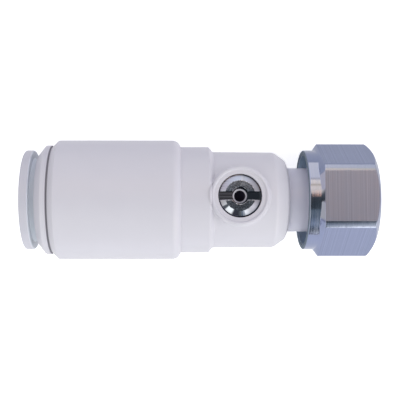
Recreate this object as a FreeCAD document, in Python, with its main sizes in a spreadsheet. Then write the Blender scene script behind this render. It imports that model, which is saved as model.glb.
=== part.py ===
import FreeCAD, Part
import os

import Sketcher

# Service valve: a plastic push-fit pipe socket, a quarter-turn ball with a slotted stem,
# and a loose hexagon nut that screws onto a tap tail.
# The flow line is X, the stem stands along Z, and the origin is the pipe stop,
# where the end of a pushed-in pipe comes to rest. Lengths are in millimetres.

SIZES = {
    # Pipe and its socket
    "pipe_radius": 7.5,
    "pipe_wall": 1.6,
    "pipe_clearance": 0.1,
    "pilot_length": 7.4,
    "pilot_lead": 0.5,
    "socket_depth": 23.3,
    "seal_section": 2.6,
    "seal_clearance": 0.02,
    "seal_side_room": 0.1,
    "mould_fit": 0.05,
    # Barrel, step and ball housing
    "barrel_wall": 1.65,
    "barrel_lead": 1.3,
    "barrel_end": 6.87,
    "barrel_round": 1.95,
    "step_height": 1.2,
    "step_overlap": 0.12,
    "step_slope": 1.0,
    "housing_wall": 3.8,
    "housing_draft": 0.12,
    "housing_rim": 1.43,
    "shoulder_length": 2.6,
    "shoulder_drop": 1.86,
    "shoulder_nose": 0.65,
    "shoulder_rim": 0.18,
    # Cap ring that holds the gripping collar in
    "spigot_wall": 1.1,
    "seam_gap": 0.4,
    "seam_depth": 0.53,
    "cap_rim": 1.25,
    "cap_slope": 1.65,
    "cap_nose_wall": 0.2,
    "snap_height": 0.3,
    "snap_length": 1.4,
    "snap_setback": 3.0,
    # Gripping collar
    "collar_play": 0.8,
    "collar_catch": 1.25,
    "collar_flange_reach": 1.88,
    "collar_flange": 2.0,
    "collar_edge": 0.2,
    "collar_travel": 1.2,
    "collar_stop_room": 0.1,
    "collar_bore_room": 0.15,
    "collar_neck": 4.1,
    "collar_neck_taper": 1.0,
    "finger_wall": 2.05,
    "finger_head_height": 1.4,
    "finger_head": 2.1,
    "finger_ramp": 3.0,
    "finger_wedge_gap": 0.25,
    "finger_cage_room": 0.2,
    "finger_end_room": 0.6,
    "finger_count": 8,
    "finger_slot": 1.2,
    "tooth_thickness": 0.4,
    "tooth_height": 1.55,
    "tooth_lean": 1.3,
    "tooth_setback": 1.0,
    "tooth_spread": 24,
    "tooth_fit": 0.02,
    # Spacer between collar and seal
    "spacer_nose": 1.4,
    "spacer_disc": 0.9,
    # Stem axis, ball and seats
    "stem_place": 20.27,
    "ball_bore_radius": 4.0,
    "ball_wall": 2.3,
    "ball_slot_depth": 1.5,
    "ball_seat_fit": 0.05,
    "seat_bore_room": 0.3,
    "seat_step": 0.2,
    "seat_face": 3.4,
    "inlet_seat_web": 3.3,
    "outlet_seat_web": 2.7,
    "seat_hub_room": 0.4,
    "seat_ring_section": 1.3,
    "seat_face_room": 0.05,
    # Stem and its boss
    "boss_wall": 1.91,
    "boss_height": 0.5,
    "boss_lip": 0.35,
    "boss_round": 0.6,
    "boss_lip_width": 0.72,
    "boss_lip_slope": 0.3,
    "boss_blend": 0.4,
    "stem_radius": 4.9,
    "stem_fit": 0.06,
    "stem_headroom": 2.7,
    "stem_collar_reach": 0.65,
    "stem_collar_fit": 0.1,
    "stem_collar": 0.75,
    "stem_thrust": 0.4,
    "stem_thrust_fit": 0.03,
    "stem_seal_section": 1.17,
    "stem_seal_setback": 0.2,
    "stem_sink": 0.65,
    "stem_rim": 0.3,
    "stem_rim_width": 0.25,
    "stem_bevel": 0.55,
    "stem_bevel_width": 1.35,
    "driver_slot": 1.9,
    "driver_slot_depth": 1.4,
    "stem_pit_room": 0.68,
    "stem_hole_radius": 1.27,
    "stem_hole_depth": 2.6,
    "stem_hole_lead": 0.4,
    "tang_thickness": 1.9,
    "tang_half_width": 3.0,
    "tang_fit": 0.05,
    "tang_end_room": 0.2,
    "stop_lug_reach": 0.9,
    "stop_lug_angle": 16,
    "stop_lug_fit": 0.12,
    "stop_angle_play": 1,
    "quarter_turn": 90,
    # Tail that carries the nut
    "ball_room": 1.3,
    "tail_wall": 2.6,
    "tail_fit": 0.05,
    "tail_seal_section": 1.36,
    "tail_seal_setback": 0.85,
    "barb_height": 0.5,
    "barb_ramp": 1.3,
    "barb_setback": 3.05,
    "tail_neck": 9.4,
    "tail_flange": 1.6,
    "tail_flange_reach": 1.4,
    "washer_thickness": 2.0,
    "washer_bore_room": 0.2,
    "washer_trim": 0.05,
    # Hexagon nut and its slip ring
    "slip_ring": 0.6,
    "slip_ring_fit": 0.1,
    "slip_face_gap": 0.05,
    "nut_wall": 1.52,
    "nut_corner_round": 2.3,
    "nut_lip": 2.0,
    "nut_lip_room": 0.4,
    "nut_collar": 2.6,
    "nut_collar_reach": 2.9,
    "nut_collar_wall": 1.4,
    "nut_collar_edge": 0.25,
    "nut_slope": 1.3,
    "nut_end_slope": 1.3,
    "nut_end_land": 0.77,
    "thread_room": 0.32,
    "thread_depth": 1.16,
    "thread_length": 7.2,
    "thread_relief": 0.4,
}

# Places and radii worked out from the sizes above, as sums on the same names.
PLACES = {
    # Socket, counted back from the pipe stop
    "socket_radius": "pipe_radius + pipe_clearance",
    "stop_bore_radius": "pipe_radius - pipe_wall",
    "seal_radius": "socket_radius + seal_clearance",
    "seal_pocket_radius": "seal_radius + seal_section + seal_clearance",
    "seal_pocket_end": "pilot_length + seal_section + 2 * seal_side_room",
    "spacer_step": "seal_pocket_end + spacer_nose",
    "spacer_face": "spacer_step + spacer_disc",
    "spigot_radius": "cage_radius + spigot_wall",
    "counterbore_radius": "spigot_radius + mould_fit",
    "barrel_radius": "counterbore_radius + barrel_wall",
    "snap_radius": "spigot_radius + snap_height",
    "snap_place": "socket_depth - snap_setback",
    "cap_shoulder": "socket_depth + seam_gap",
    "cap_nose": "cap_shoulder + cap_rim + cap_slope",
    "cap_radius": "spigot_radius + seam_depth",
    "mouth_radius": "collar_neck_radius + collar_play",
    "cap_nose_radius": "mouth_radius + cap_nose_wall",
    # Gripping collar, counted back from the pipe stop
    "collar_back": "cap_nose + collar_travel + collar_stop_room",
    "collar_front": "collar_back + collar_flange",
    "collar_bore_radius": "socket_radius + collar_bore_room",
    "collar_neck_radius": "finger_head_radius - collar_catch",
    "collar_flange_radius": "collar_neck_radius + collar_flange_reach",
    "finger_radius": "collar_bore_radius + finger_wall",
    "finger_head_radius": "finger_radius + finger_head_height",
    "collar_end": "spacer_face + collar_travel + finger_end_room",
    "head_start": "collar_end + finger_head",
    "ramp_start": "head_start + finger_ramp",
    "ramp_rate": "finger_head_height / finger_ramp",
    "wedge_start": "head_start + finger_wedge_gap + ( finger_head_radius - mouth_radius ) / ramp_rate",
    "wedge_end": "head_start + finger_wedge_gap - finger_cage_room / ramp_rate",
    "cage_radius": "finger_head_radius + finger_cage_room",
    "tooth_tip": "collar_end + tooth_setback",
    "tooth_root_radius": "collar_bore_radius + tooth_height",
    # Ball chamber, measured along the flow line
    "ball_radius": "ball_bore_radius + ball_wall",
    "ball_slot_floor": "ball_radius - ball_slot_depth",
    "tail_radius": "ball_radius + ball_room",
    "tail_bore_radius": "tail_radius - tail_wall",
    "chamber_radius": "tail_radius + tail_fit",
    "seat_radius": "chamber_radius - mould_fit",
    "seat_hub_radius": "seat_radius - seat_ring_section - seat_hub_room",
    "seat_bore_radius": "ball_bore_radius + seat_bore_room",
    "seat_throat_radius": "seat_bore_radius + seat_step",
    "seat_cup_radius": "ball_radius + ball_seat_fit",
    "seat_cup_rim": "sqrt( seat_cup_radius ^ 2 - seat_face ^ 2 )",
    "seat_cup_throat": "sqrt( seat_cup_radius ^ 2 - seat_bore_radius ^ 2 )",
    "inlet_web_back": "seat_face + inlet_seat_web",
    "inlet_seat_back": "inlet_web_back + seat_ring_section + seat_face_room",
    "chamber_start": "stem_place - inlet_seat_back - seat_face_room",
    "outlet_seat_back": "seat_face + outlet_seat_web",
    "tail_start": "stem_place + outlet_seat_back + seat_face_room",
    "step_end": "stem_place - boss_radius + step_overlap",
    "step_radius": "housing_radius + step_height",
    "housing_radius": "chamber_radius + housing_wall",
    "housing_end_radius": "housing_radius - housing_draft",
    "housing_end": "barb_end + housing_rim",
    "barrel_drop": "barrel_radius - step_radius",
    "barrel_bend": "( barrel_round ^ 2 + barrel_drop ^ 2 ) / ( 2 * barrel_drop )",
    "shoulder_edge": "housing_end - shoulder_nose",
    # Stem, measured up from the flow line
    "boss_radius": "stem_bore_radius + boss_wall",
    "boss_floor": "housing_radius + boss_height",
    "boss_top": "boss_floor + boss_lip",
    "boss_lip_radius": "boss_radius - boss_lip_width",
    "boss_floor_radius": "boss_lip_radius - boss_lip_slope",
    "stem_roof": "ball_radius + stem_headroom",
    "stem_bore_radius": "stem_radius + stem_fit",
    "stem_collar_radius": "stem_radius + stem_collar_reach",
    "stem_pocket_radius": "stem_collar_radius + stem_collar_fit",
    "collar_top": "stem_roof - stem_thrust - 2 * stem_thrust_fit",
    "collar_floor": "collar_top - stem_collar",
    "stem_seal_floor": "stem_bore_radius - stem_thrust_fit - stem_seal_section - seal_clearance",
    "stem_seal_start": "stem_roof + stem_seal_setback",
    "stem_seal_end": "stem_seal_start + stem_seal_section + seal_side_room",
    "stem_land": "boss_floor - stem_sink",
    "stem_rim_radius": "stem_radius - stem_rim_width",
    "stem_rim_height": "stem_land + stem_rim",
    "stem_crown_radius": "stem_rim_radius - stem_bevel_width",
    "stem_crown": "stem_rim_height + stem_bevel",
    "stem_pit_radius": "stem_hole_radius + stem_pit_room",
    "driver_floor": "stem_crown - driver_slot_depth",
    "tang_end": "ball_slot_floor + tang_end_room",
    "stop_lug_radius": "stem_collar_radius + stop_lug_reach",
    "lug_recess_radius": "stop_lug_radius + stop_lug_fit",
    "lug_recess_roof": "collar_top + stop_lug_fit",
    "lug_sweep": "quarter_turn + stop_lug_angle + 2 * stop_angle_play",
    # Tail and nut
    "tail_seal_start": "tail_start + tail_seal_setback",
    "tail_seal_end": "tail_seal_start + tail_seal_section + 2 * seal_side_room",
    "tail_seal_floor": "chamber_radius - 2 * seal_clearance - tail_seal_section",
    "barb_start": "tail_start + barb_setback",
    "barb_end": "barb_start + barb_ramp",
    "barb_radius": "tail_radius + barb_height",
    "tail_flange_place": "housing_end + tail_neck",
    "tail_flange_radius": "tail_radius + tail_flange_reach",
    "washer_back": "tail_flange_place + tail_flange",
    "washer_face": "washer_back + washer_thickness",
    "washer_radius": "tail_flange_radius - washer_trim",
    "washer_bore_radius": "tail_bore_radius + washer_bore_room",
    "slip_back": "tail_flange_place - slip_face_gap - slip_ring",
    "slip_bore_radius": "tail_radius + slip_ring_fit",
    "lip_face": "slip_back - slip_face_gap",
    "lip_back": "lip_face - nut_lip",
    "nut_back": "lip_back - nut_collar_reach",
    "nut_lip_radius": "tail_radius + nut_lip_room",
    "nut_reach": "washer_face + thread_length",
    "nut_flat": "thread_radius + nut_wall",
    "nut_point": "nut_flat / cos( 30 deg )",
    "nut_recess_radius": "nut_flat - nut_collar_wall",
    "hexagon_start": "nut_back + nut_collar",
    "nut_slope_radius": "( nut_flat - nut_corner_round ) / cos( 30 deg ) + nut_corner_round",
    "nut_end_radius": "thread_radius + nut_end_land",
    "thread_bore_radius": "tail_flange_radius + thread_room",
    "thread_radius": "thread_bore_radius + thread_depth",
    "relief_end": "washer_face + thread_relief",
    "thread_end": "nut_reach - thread_depth",
}


def bind(words):
    """Turn a sum of size and place names into an expression on the sheet's cells."""
    parts = []
    for word in words.split():
        if word in PLACES:
            parts.append("( " + bind(PLACES[word]) + " )")
        elif word in SIZES:
            parts.append("Dimensions." + word)
        else:
            parts.append(word)
    return " ".join(parts)


doc = FreeCAD.newDocument("ServiceValve")
sheet = doc.addObject("Spreadsheet::Sheet", "Dimensions")
for row, name in enumerate(SIZES, start=1):
    sheet.set("A%d" % row, name)
    sheet.set("B%d" % row, str(SIZES[name]))
    sheet.setAlias("B%d" % row, name)
doc.recompute()


def value(words):
    """Give the present number of a sum of names."""
    return float(sheet.evalExpression(bind(words)))


def new_body(label):
    """Start one sub-part; its label names its file."""
    body = doc.addObject("PartDesign::Body", label)
    body.Label = label
    return body


def new_sketch(body, name, role="XZ_Plane", shift=None, turn=None):
    """Start a sketch on a plane of the body's origin, shifted along or turned about an axis.

    shift is a sum for the distance along the plane's normal; turn is (axis, sum in degrees).
    """
    sketch = body.newObject("Sketcher::SketchObject", name)
    plane = [item for item in body.Origin.OriginFeatures if item.Role == role][0]
    sketch.AttachmentSupport = [(plane, "")]
    sketch.MapMode = "FlatFace"
    if shift:
        sketch.setExpression("AttachmentOffset.Base.z", bind(shift))
    if turn:
        axis, angle = turn
        sketch.AttachmentOffset = FreeCAD.Placement(FreeCAD.Vector(), FreeCAD.Rotation(axis, 1))
        sketch.setExpression("AttachmentOffset.Rotation.Angle", bind(angle) + " * 1 deg")
    return sketch


def hold(sketch, geometry, point, across, up):
    """Fix a sketch point at the two sums given from the sketch's origin."""
    for kind, words in (("DistanceX", across), ("DistanceY", up)):
        rule = Sketcher.Constraint(kind, -1, 1, geometry, point, value(words))
        sketch.setExpression("Constraints[%d]" % sketch.addConstraint(rule), bind(words))


def outline(sketch, corners):
    """Draw a closed outline through corners given as (across, up) sums.

    A corner with two more entries is reached by an arc: a radius sum, and +1 where the
    arc runs anticlockwise or -1 where it runs clockwise.
    """
    points = [FreeCAD.Vector(value(c[0]), value(c[1]), 0) for c in corners]
    ends = []
    for index, corner in enumerate(corners):
        start, end = points[index - 1], points[index]
        if len(corner) == 2:
            ends.append((sketch.addGeometry(Part.LineSegment(start, end)), 1, 2))
            continue
        radius, way = value(corner[2]), corner[3]
        chord = end - start
        reach = (radius ** 2 - chord.Length ** 2 / 4) ** 0.5
        side = FreeCAD.Vector(-chord.y, chord.x, 0).normalize() * reach * way
        middle = (start + end) * 0.5 + side
        bulge = middle - side.normalize() * radius
        arc = Part.Arc(start, bulge, end)
        geometry = sketch.addGeometry(arc)
        ends.append((geometry, 1, 2) if way > 0 else (geometry, 2, 1))
        rule = Sketcher.Constraint("Radius", geometry, radius)
        sketch.setExpression("Constraints[%d]" % sketch.addConstraint(rule), bind(corner[2]))
    for index, corner in enumerate(corners):
        geometry, _, finish = ends[index]
        following, begin, _ = ends[(index + 1) % len(ends)]
        sketch.addConstraint(Sketcher.Constraint("Coincident", geometry, finish, following, begin))
        hold(sketch, geometry, finish, corner[0], corner[1])


def circle(sketch, across, up, radius):
    """Draw a circle about a held centre."""
    centre = FreeCAD.Vector(value(across), value(up), 0)
    normal = FreeCAD.Vector(0, 0, 1)
    geometry = sketch.addGeometry(Part.Circle(centre, normal, value(radius)))
    rule = Sketcher.Constraint("Radius", geometry, value(radius))
    sketch.setExpression("Constraints[%d]" % sketch.addConstraint(rule), bind(radius))
    hold(sketch, geometry, 3, across, up)


def turned(body, name, sketch, kind="PartDesign::Revolution", axis="H_Axis", angle=None):
    """Turn a sketch into a solid or a cut: all the way round, or part way on both sides."""
    feature = body.newObject(kind, name)
    feature.Profile = sketch
    feature.ReferenceAxis = (sketch, [axis])
    if angle:
        feature.Midplane = True
        feature.setExpression("Angle", bind(angle))
    else:
        feature.Angle = 360
    return feature


def upright_line(sketch, across, low, high):
    """Draw the construction line that a boss or a stem bore is turned about."""
    line = Part.LineSegment(
        FreeCAD.Vector(value(across), value(low), 0), FreeCAD.Vector(value(across), value(high), 0)
    )
    geometry = sketch.addGeometry(line, True)
    hold(sketch, geometry, 1, across, low)
    hold(sketch, geometry, 2, across, high)


def straight(body, name, sketch, length, kind="PartDesign::Pad", both_sides=False, back=False):
    """Push a sketch out along its normal as a pad or a pocket."""
    feature = body.newObject(kind, name)
    feature.Profile = sketch
    feature.setExpression("Length", bind(length))
    feature.Midplane = both_sides
    feature.Reversed = back
    return feature


def repeat_round(body, name, feature, count):
    """Repeat a feature evenly about the flow line."""
    pattern = body.newObject("PartDesign::PolarPattern", name)
    pattern.Originals = [feature]
    pattern.Axis = ([item for item in body.Origin.OriginFeatures if item.Role == "X_Axis"][0], [""])
    pattern.Angle = 360
    pattern.setExpression("Occurrences", bind(count))
    body.Tip = pattern
    return pattern


def ring_of_rubber(label, across, middle_radius, section):
    """Build a round-section seal as a circle turned about the flow line."""
    body = new_body(label)
    sketch = new_sketch(body, label + "_section")
    circle(sketch, across, middle_radius, section + " / 2")
    turned(body, label + "_ring", sketch)
    return body


def boss_foot(shape):
    """Find the low edges that end on the boss's upright wall: its foot and the step's."""
    axis = FreeCAD.Vector(value("stem_place"), 0, 0)
    names = []
    for number, edge in enumerate(shape.Edges, start=1):
        spots = [edge.valueAt(at) - axis for at in edge.ParameterRange]
        reach = [(spot.x ** 2 + spot.y ** 2) ** 0.5 for spot in spots]
        on_wall = all(abs(far - value("boss_radius")) < 0.001 for far in reach)
        low = all(spot.z < value("boss_top - boss_round") - 0.001 for spot in spots)
        if on_wall and low:
            names.append("Edge%d" % number)
    return names


# Valve body: one moulding with the pipe socket, the ball chamber and the stem boss.
def make_valve_body():
    body = new_body("valve_body")
    outside = new_sketch(body, "body_outside")
    outline(outside, [
        ("- socket_depth", "0"),
        ("- socket_depth", "barrel_radius - barrel_lead"),
        ("- socket_depth + barrel_lead", "barrel_radius"),
        ("barrel_end - barrel_round", "barrel_radius"),
        ("barrel_end", "step_radius", "barrel_bend", -1),
        ("step_end", "step_radius"),
        ("step_end + step_slope", "housing_radius"),
        ("shoulder_edge - shoulder_length", "housing_end_radius"),
        ("shoulder_edge", "housing_end_radius - shoulder_drop"),
        ("housing_end", "chamber_radius + shoulder_rim"),
        ("housing_end", "0"),
    ])
    turned(body, "body_form", outside)

    boss = new_sketch(body, "boss_outline")
    upright_line(boss, "stem_place", "0", "boss_top")
    outline(boss, [
        ("stem_place", "0"),
        ("stem_place + boss_radius", "0"),
        ("stem_place + boss_radius", "boss_top - boss_round"),
        ("stem_place + boss_radius - boss_round", "boss_top", "boss_round", 1),
        ("stem_place + boss_lip_radius", "boss_top"),
        ("stem_place + boss_floor_radius", "boss_floor"),
        ("stem_place", "boss_floor"),
    ])
    form = turned(body, "boss_form", boss, axis="Axis0")
    doc.recompute()
    blend = body.newObject("PartDesign::Fillet", "boss_blend_round")
    blend.Base = (form, boss_foot(form.Shape))
    blend.setExpression("Radius", bind("boss_blend"))

    socket = new_sketch(body, "socket_and_chamber")
    outline(socket, [
        ("- socket_depth - 1 * seam_gap", "0"),
        ("- socket_depth - 1 * seam_gap", "counterbore_radius"),
        ("- snap_place", "counterbore_radius"),
        ("- snap_place", "snap_radius + mould_fit"),
        ("- snap_place + snap_length", "snap_radius + mould_fit"),
        ("- snap_place + snap_length", "counterbore_radius"),
        ("- spacer_step", "counterbore_radius"),
        ("- spacer_step", "seal_pocket_radius"),
        ("- pilot_length", "seal_pocket_radius"),
        ("- pilot_length", "socket_radius + pilot_lead"),
        ("- pilot_length + pilot_lead", "socket_radius"),
        ("0", "socket_radius"),
        ("0", "stop_bore_radius"),
        ("chamber_start", "seat_throat_radius"),
        ("chamber_start", "chamber_radius"),
        ("barb_start - tail_fit", "chamber_radius"),
        ("barb_start - tail_fit", "barb_radius + tail_fit"),
        ("barb_end + tail_fit", "barb_radius + tail_fit"),
        ("barb_end + tail_fit", "chamber_radius"),
        ("housing_end + seam_gap", "chamber_radius"),
        ("housing_end + seam_gap", "0"),
    ])
    turned(body, "flow_cut", socket, "PartDesign::Groove")

    stem_bore = new_sketch(body, "stem_bore")
    upright_line(stem_bore, "stem_place", "0", "boss_top")
    outline(stem_bore, [
        ("stem_place", "0"),
        ("stem_place + stem_pocket_radius", "0"),
        ("stem_place + stem_pocket_radius", "stem_roof"),
        ("stem_place + stem_bore_radius", "stem_roof"),
        ("stem_place + stem_bore_radius", "boss_top"),
        ("stem_place", "boss_top"),
    ])
    turned(body, "stem_cut", stem_bore, "PartDesign::Groove", "Axis0")

    recess = new_sketch(body, "stop_recess")
    upright_line(recess, "stem_place", "0", "boss_top")
    outline(recess, [
        ("stem_place", "ball_slot_floor"),
        ("stem_place + lug_recess_radius", "ball_slot_floor"),
        ("stem_place + lug_recess_radius", "lug_recess_roof"),
        ("stem_place", "lug_recess_roof"),
    ])
    turned(body, "stop_cut", recess, "PartDesign::Groove", "Axis0", "lug_sweep")
    return body


# Cap ring: pressed into the barrel's mouth, with the inner wedge that closes the fingers.
def make_end_ring():
    body = new_body("end_ring")
    sketch = new_sketch(body, "end_ring_section")
    outline(sketch, [
        ("- cap_nose", "mouth_radius"),
        ("- cap_nose", "cap_nose_radius"),
        ("- cap_shoulder - cap_rim", "cap_radius"),
        ("- cap_shoulder", "cap_radius"),
        ("- cap_shoulder", "spigot_radius"),
        ("- snap_place + mould_fit", "spigot_radius"),
        ("- snap_place + mould_fit", "snap_radius"),
        ("- snap_place + snap_length - snap_height", "snap_radius"),
        ("- snap_place + snap_length - mould_fit", "spigot_radius"),
        ("- spacer_face", "spigot_radius"),
        ("- spacer_face", "cage_radius"),
        ("- wedge_end", "cage_radius"),
        ("- wedge_start", "mouth_radius"),
    ])
    turned(body, "end_ring_form", sketch)
    return body


def tooth_outline(sketch, room):
    """Draw a tooth strip leaning into the socket, with room around it for its slot."""
    outline(sketch, [
        ("- tooth_tip - tooth_thickness - " + room, "seal_radius"),
        ("- tooth_tip + " + room, "seal_radius"),
        ("- tooth_tip - tooth_lean + " + room, "tooth_root_radius + " + room),
        ("- tooth_tip - tooth_lean - tooth_thickness - " + room, "tooth_root_radius + " + room),
    ])


# Gripping collar: a pushed flange, a guided neck and sprung fingers with wedge heads.
def make_collet():
    body = new_body("collet")
    sketch = new_sketch(body, "collet_section")
    outline(sketch, [
        ("- collar_front", "collar_bore_radius + collar_edge"),
        ("- collar_front", "collar_flange_radius - collar_edge"),
        ("- collar_front + collar_edge", "collar_flange_radius"),
        ("- collar_back - collar_edge", "collar_flange_radius"),
        ("- collar_back", "collar_flange_radius - collar_edge"),
        ("- collar_back", "collar_neck_radius"),
        ("- collar_back + collar_neck", "collar_neck_radius"),
        ("- collar_back + collar_neck + collar_neck_taper", "finger_radius"),
        ("- ramp_start", "finger_radius"),
        ("- head_start", "finger_head_radius"),
        ("- collar_end - collar_edge", "finger_head_radius"),
        ("- collar_end", "finger_head_radius - collar_edge"),
        ("- collar_end", "collar_bore_radius"),
        ("- collar_front + collar_edge", "collar_bore_radius"),
    ])
    turned(body, "collet_form", sketch)

    slot = new_sketch(body, "finger_slot_outline")
    outline(slot, [
        ("- collar_back + collar_neck", "collar_bore_radius - collar_edge"),
        ("- collar_end + collar_edge", "collar_bore_radius - collar_edge"),
        ("- collar_end + collar_edge", "finger_head_radius + collar_edge"),
        ("- collar_back + collar_neck", "finger_head_radius + collar_edge"),
    ])
    cut = straight(body, "finger_slot_cut", slot, "finger_slot", "PartDesign::Pocket", True)
    repeat_round(body, "finger_slots", cut, "finger_count")

    half_step = (FreeCAD.Vector(1, 0, 0), "180 / finger_count")
    seat = new_sketch(body, "tooth_seat_outline", turn=half_step)
    tooth_outline(seat, "tooth_fit")
    cut = turned(body, "tooth_seat_cut", seat, "PartDesign::Groove", angle="tooth_spread + 1")
    repeat_round(body, "tooth_seats", cut, "finger_count")
    return body


# Teeth: one leaning steel strip in each finger, kept as a group.
def make_collet_teeth():
    body = new_body("collet_teeth")
    half_step = (FreeCAD.Vector(1, 0, 0), "180 / finger_count")
    sketch = new_sketch(body, "tooth_outline", turn=half_step)
    tooth_outline(sketch, "0 * tooth_fit")
    tooth = turned(body, "tooth_form", sketch, angle="tooth_spread")
    repeat_round(body, "teeth", tooth, "finger_count")
    return body


# Spacer: a stepped ring between the spigot's end and the pipe seal.
def make_spacer_ring():
    body = new_body("spacer_ring")
    sketch = new_sketch(body, "spacer_section")
    outline(sketch, [
        ("- spacer_face", "collar_bore_radius"),
        ("- spacer_face", "counterbore_radius - mould_fit"),
        ("- spacer_step", "counterbore_radius - mould_fit"),
        ("- spacer_step", "seal_pocket_radius - mould_fit"),
        ("- seal_pocket_end", "seal_pocket_radius - mould_fit"),
        ("- seal_pocket_end", "collar_bore_radius"),
    ])
    turned(body, "spacer_form", sketch)
    return body


def seat_outline(sketch, way, web_back, seat_back):
    """Draw a seat's section with its ball cup; way is - upstream of the ball and + after it."""
    turn = 1 if way == "-" else -1
    corners = [
        ("stem_place " + way + " seat_face", "seat_radius"),
        ("stem_place " + way + " seat_face", "seat_cup_rim"),
        ("stem_place " + way + " seat_cup_throat", "seat_bore_radius", "seat_cup_radius", turn),
        ("stem_place " + way + " " + seat_back, "seat_bore_radius"),
    ]
    if seat_back != web_back:
        corners += [
            ("stem_place " + way + " " + seat_back, "seat_hub_radius"),
            ("stem_place " + way + " " + web_back, "seat_hub_radius"),
        ]
    corners.append(("stem_place " + way + " " + web_back, "seat_radius"))
    outline(sketch, corners)


# Seats: slippery rings cupped to the ball; the inlet one is pushed on by a rubber ring.
def make_inlet_seat():
    body = new_body("inlet_seat")
    sketch = new_sketch(body, "inlet_seat_section")
    seat_outline(sketch, "-", "inlet_web_back", "inlet_seat_back")
    turned(body, "inlet_seat_form", sketch)
    return body


def make_outlet_seat():
    body = new_body("outlet_seat")
    sketch = new_sketch(body, "outlet_seat_section")
    seat_outline(sketch, "+", "outlet_seat_back", "outlet_seat_back")
    turned(body, "outlet_seat_form", sketch)
    return body


# Ball: bored along the flow line and slotted across its top for the stem's tang.
def make_ball():
    sphere = doc.addObject("Part::Sphere", "ball_sphere")
    sphere.setExpression("Radius", bind("ball_radius"))
    bore = doc.addObject("Part::Cylinder", "ball_bore")
    bore.setExpression("Radius", bind("ball_bore_radius"))
    bore.setExpression("Height", bind("4 * ball_radius"))
    bore.Placement.Rotation = FreeCAD.Rotation(FreeCAD.Vector(0, 1, 0), 90)
    bore.setExpression("Placement.Base.x", bind("- 2 * ball_radius"))
    slot = doc.addObject("Part::Box", "ball_slot")
    slot.setExpression("Length", bind("tang_thickness + 2 * tang_fit"))
    slot.setExpression("Width", bind("4 * ball_radius"))
    slot.setExpression("Height", bind("ball_radius"))
    slot.setExpression("Placement.Base.x", bind("- tang_thickness / 2 - tang_fit"))
    slot.setExpression("Placement.Base.y", bind("- 2 * ball_radius"))
    slot.setExpression("Placement.Base.z", bind("ball_slot_floor"))
    bored = doc.addObject("Part::Cut", "ball_bored")
    bored.Base = sphere
    bored.Tool = bore
    ball = doc.addObject("Part::Cut", "ball")
    ball.Base = bored
    ball.Tool = slot
    ball.Label = "ball"
    ball.setExpression("Placement.Base.x", bind("stem_place"))
    return ball


# Stem: put in from inside, so that pressure can't push it out, with a lug for the end stops.
def make_stem():
    body = new_body("stem")
    body.setExpression("Placement.Base.x", bind("stem_place"))
    sketch = new_sketch(body, "stem_section")
    outline(sketch, [
        ("0", "collar_floor"),
        ("stem_collar_radius", "collar_floor"),
        ("stem_collar_radius", "collar_top"),
        ("stem_radius", "collar_top"),
        ("stem_radius", "stem_seal_start"),
        ("stem_seal_floor", "stem_seal_start"),
        ("stem_seal_floor", "stem_seal_end"),
        ("stem_radius", "stem_seal_end"),
        ("stem_radius", "stem_land"),
        ("stem_rim_radius", "stem_land"),
        ("stem_rim_radius", "stem_rim_height"),
        ("stem_crown_radius", "stem_crown"),
        ("stem_pit_radius", "stem_crown"),
        ("stem_pit_radius", "driver_floor"),
        ("stem_hole_radius + stem_hole_lead", "driver_floor"),
        ("stem_hole_radius", "driver_floor - stem_hole_lead"),
        ("stem_hole_radius", "driver_floor - stem_hole_depth"),
        ("0", "driver_floor - stem_hole_depth"),
    ])
    turned(body, "stem_form", sketch, axis="V_Axis")

    tang = new_sketch(body, "tang_outline", "XY_Plane", shift="tang_end")
    outline(tang, [
        ("- tang_thickness / 2", "- tang_half_width"),
        ("tang_thickness / 2", "- tang_half_width"),
        ("tang_thickness / 2", "tang_half_width"),
        ("- tang_thickness / 2", "tang_half_width"),
    ])
    straight(body, "tang_form", tang, "collar_floor - tang_end")

    lug = new_sketch(body, "stop_lug_outline", turn=(FreeCAD.Vector(0, 1, 0), "quarter_turn / 2"))
    outline(lug, [
        ("stem_radius", "collar_floor"),
        ("stop_lug_radius", "collar_floor"),
        ("stop_lug_radius", "collar_top"),
        ("stem_radius", "collar_top"),
    ])
    turned(body, "stop_lug_form", lug, axis="V_Axis", angle="stop_lug_angle")

    slot = new_sketch(body, "driver_slot_outline", "XY_Plane", shift="driver_floor")
    outline(slot, [
        ("- 2 * stem_radius", "- driver_slot / 2"),
        ("2 * stem_radius", "- driver_slot / 2"),
        ("2 * stem_radius", "driver_slot / 2"),
        ("- 2 * stem_radius", "driver_slot / 2"),
    ])
    depth = "2 * driver_slot_depth"
    straight(body, "driver_slot_cut", slot, depth, "PartDesign::Pocket", back=True)
    return body


# Thrust washer between the stem's collar and the roof of its pocket.
def make_thrust_washer():
    body = new_body("thrust_washer")
    body.setExpression("Placement.Base.x", bind("stem_place"))
    sketch = new_sketch(body, "thrust_washer_section")
    outline(sketch, [
        ("stem_bore_radius", "collar_top + stem_thrust_fit"),
        ("stem_collar_radius", "collar_top + stem_thrust_fit"),
        ("stem_collar_radius", "stem_roof - stem_thrust_fit"),
        ("stem_bore_radius", "stem_roof - stem_thrust_fit"),
    ])
    turned(body, "thrust_washer_form", sketch, axis="V_Axis")
    return body


# Seal round the stem, in the groove above the thrust washer.
def make_stem_seal():
    body = new_body("stem_o_ring")
    body.setExpression("Placement.Base.x", bind("stem_place"))
    sketch = new_sketch(body, "stem_seal_section_circle")
    middle = "( stem_seal_start + stem_seal_end ) / 2"
    across = "stem_bore_radius - stem_thrust_fit - stem_seal_section / 2"
    circle(sketch, across, middle, "stem_seal_section / 2")
    turned(body, "stem_seal_ring", sketch, axis="V_Axis")
    return body


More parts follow.
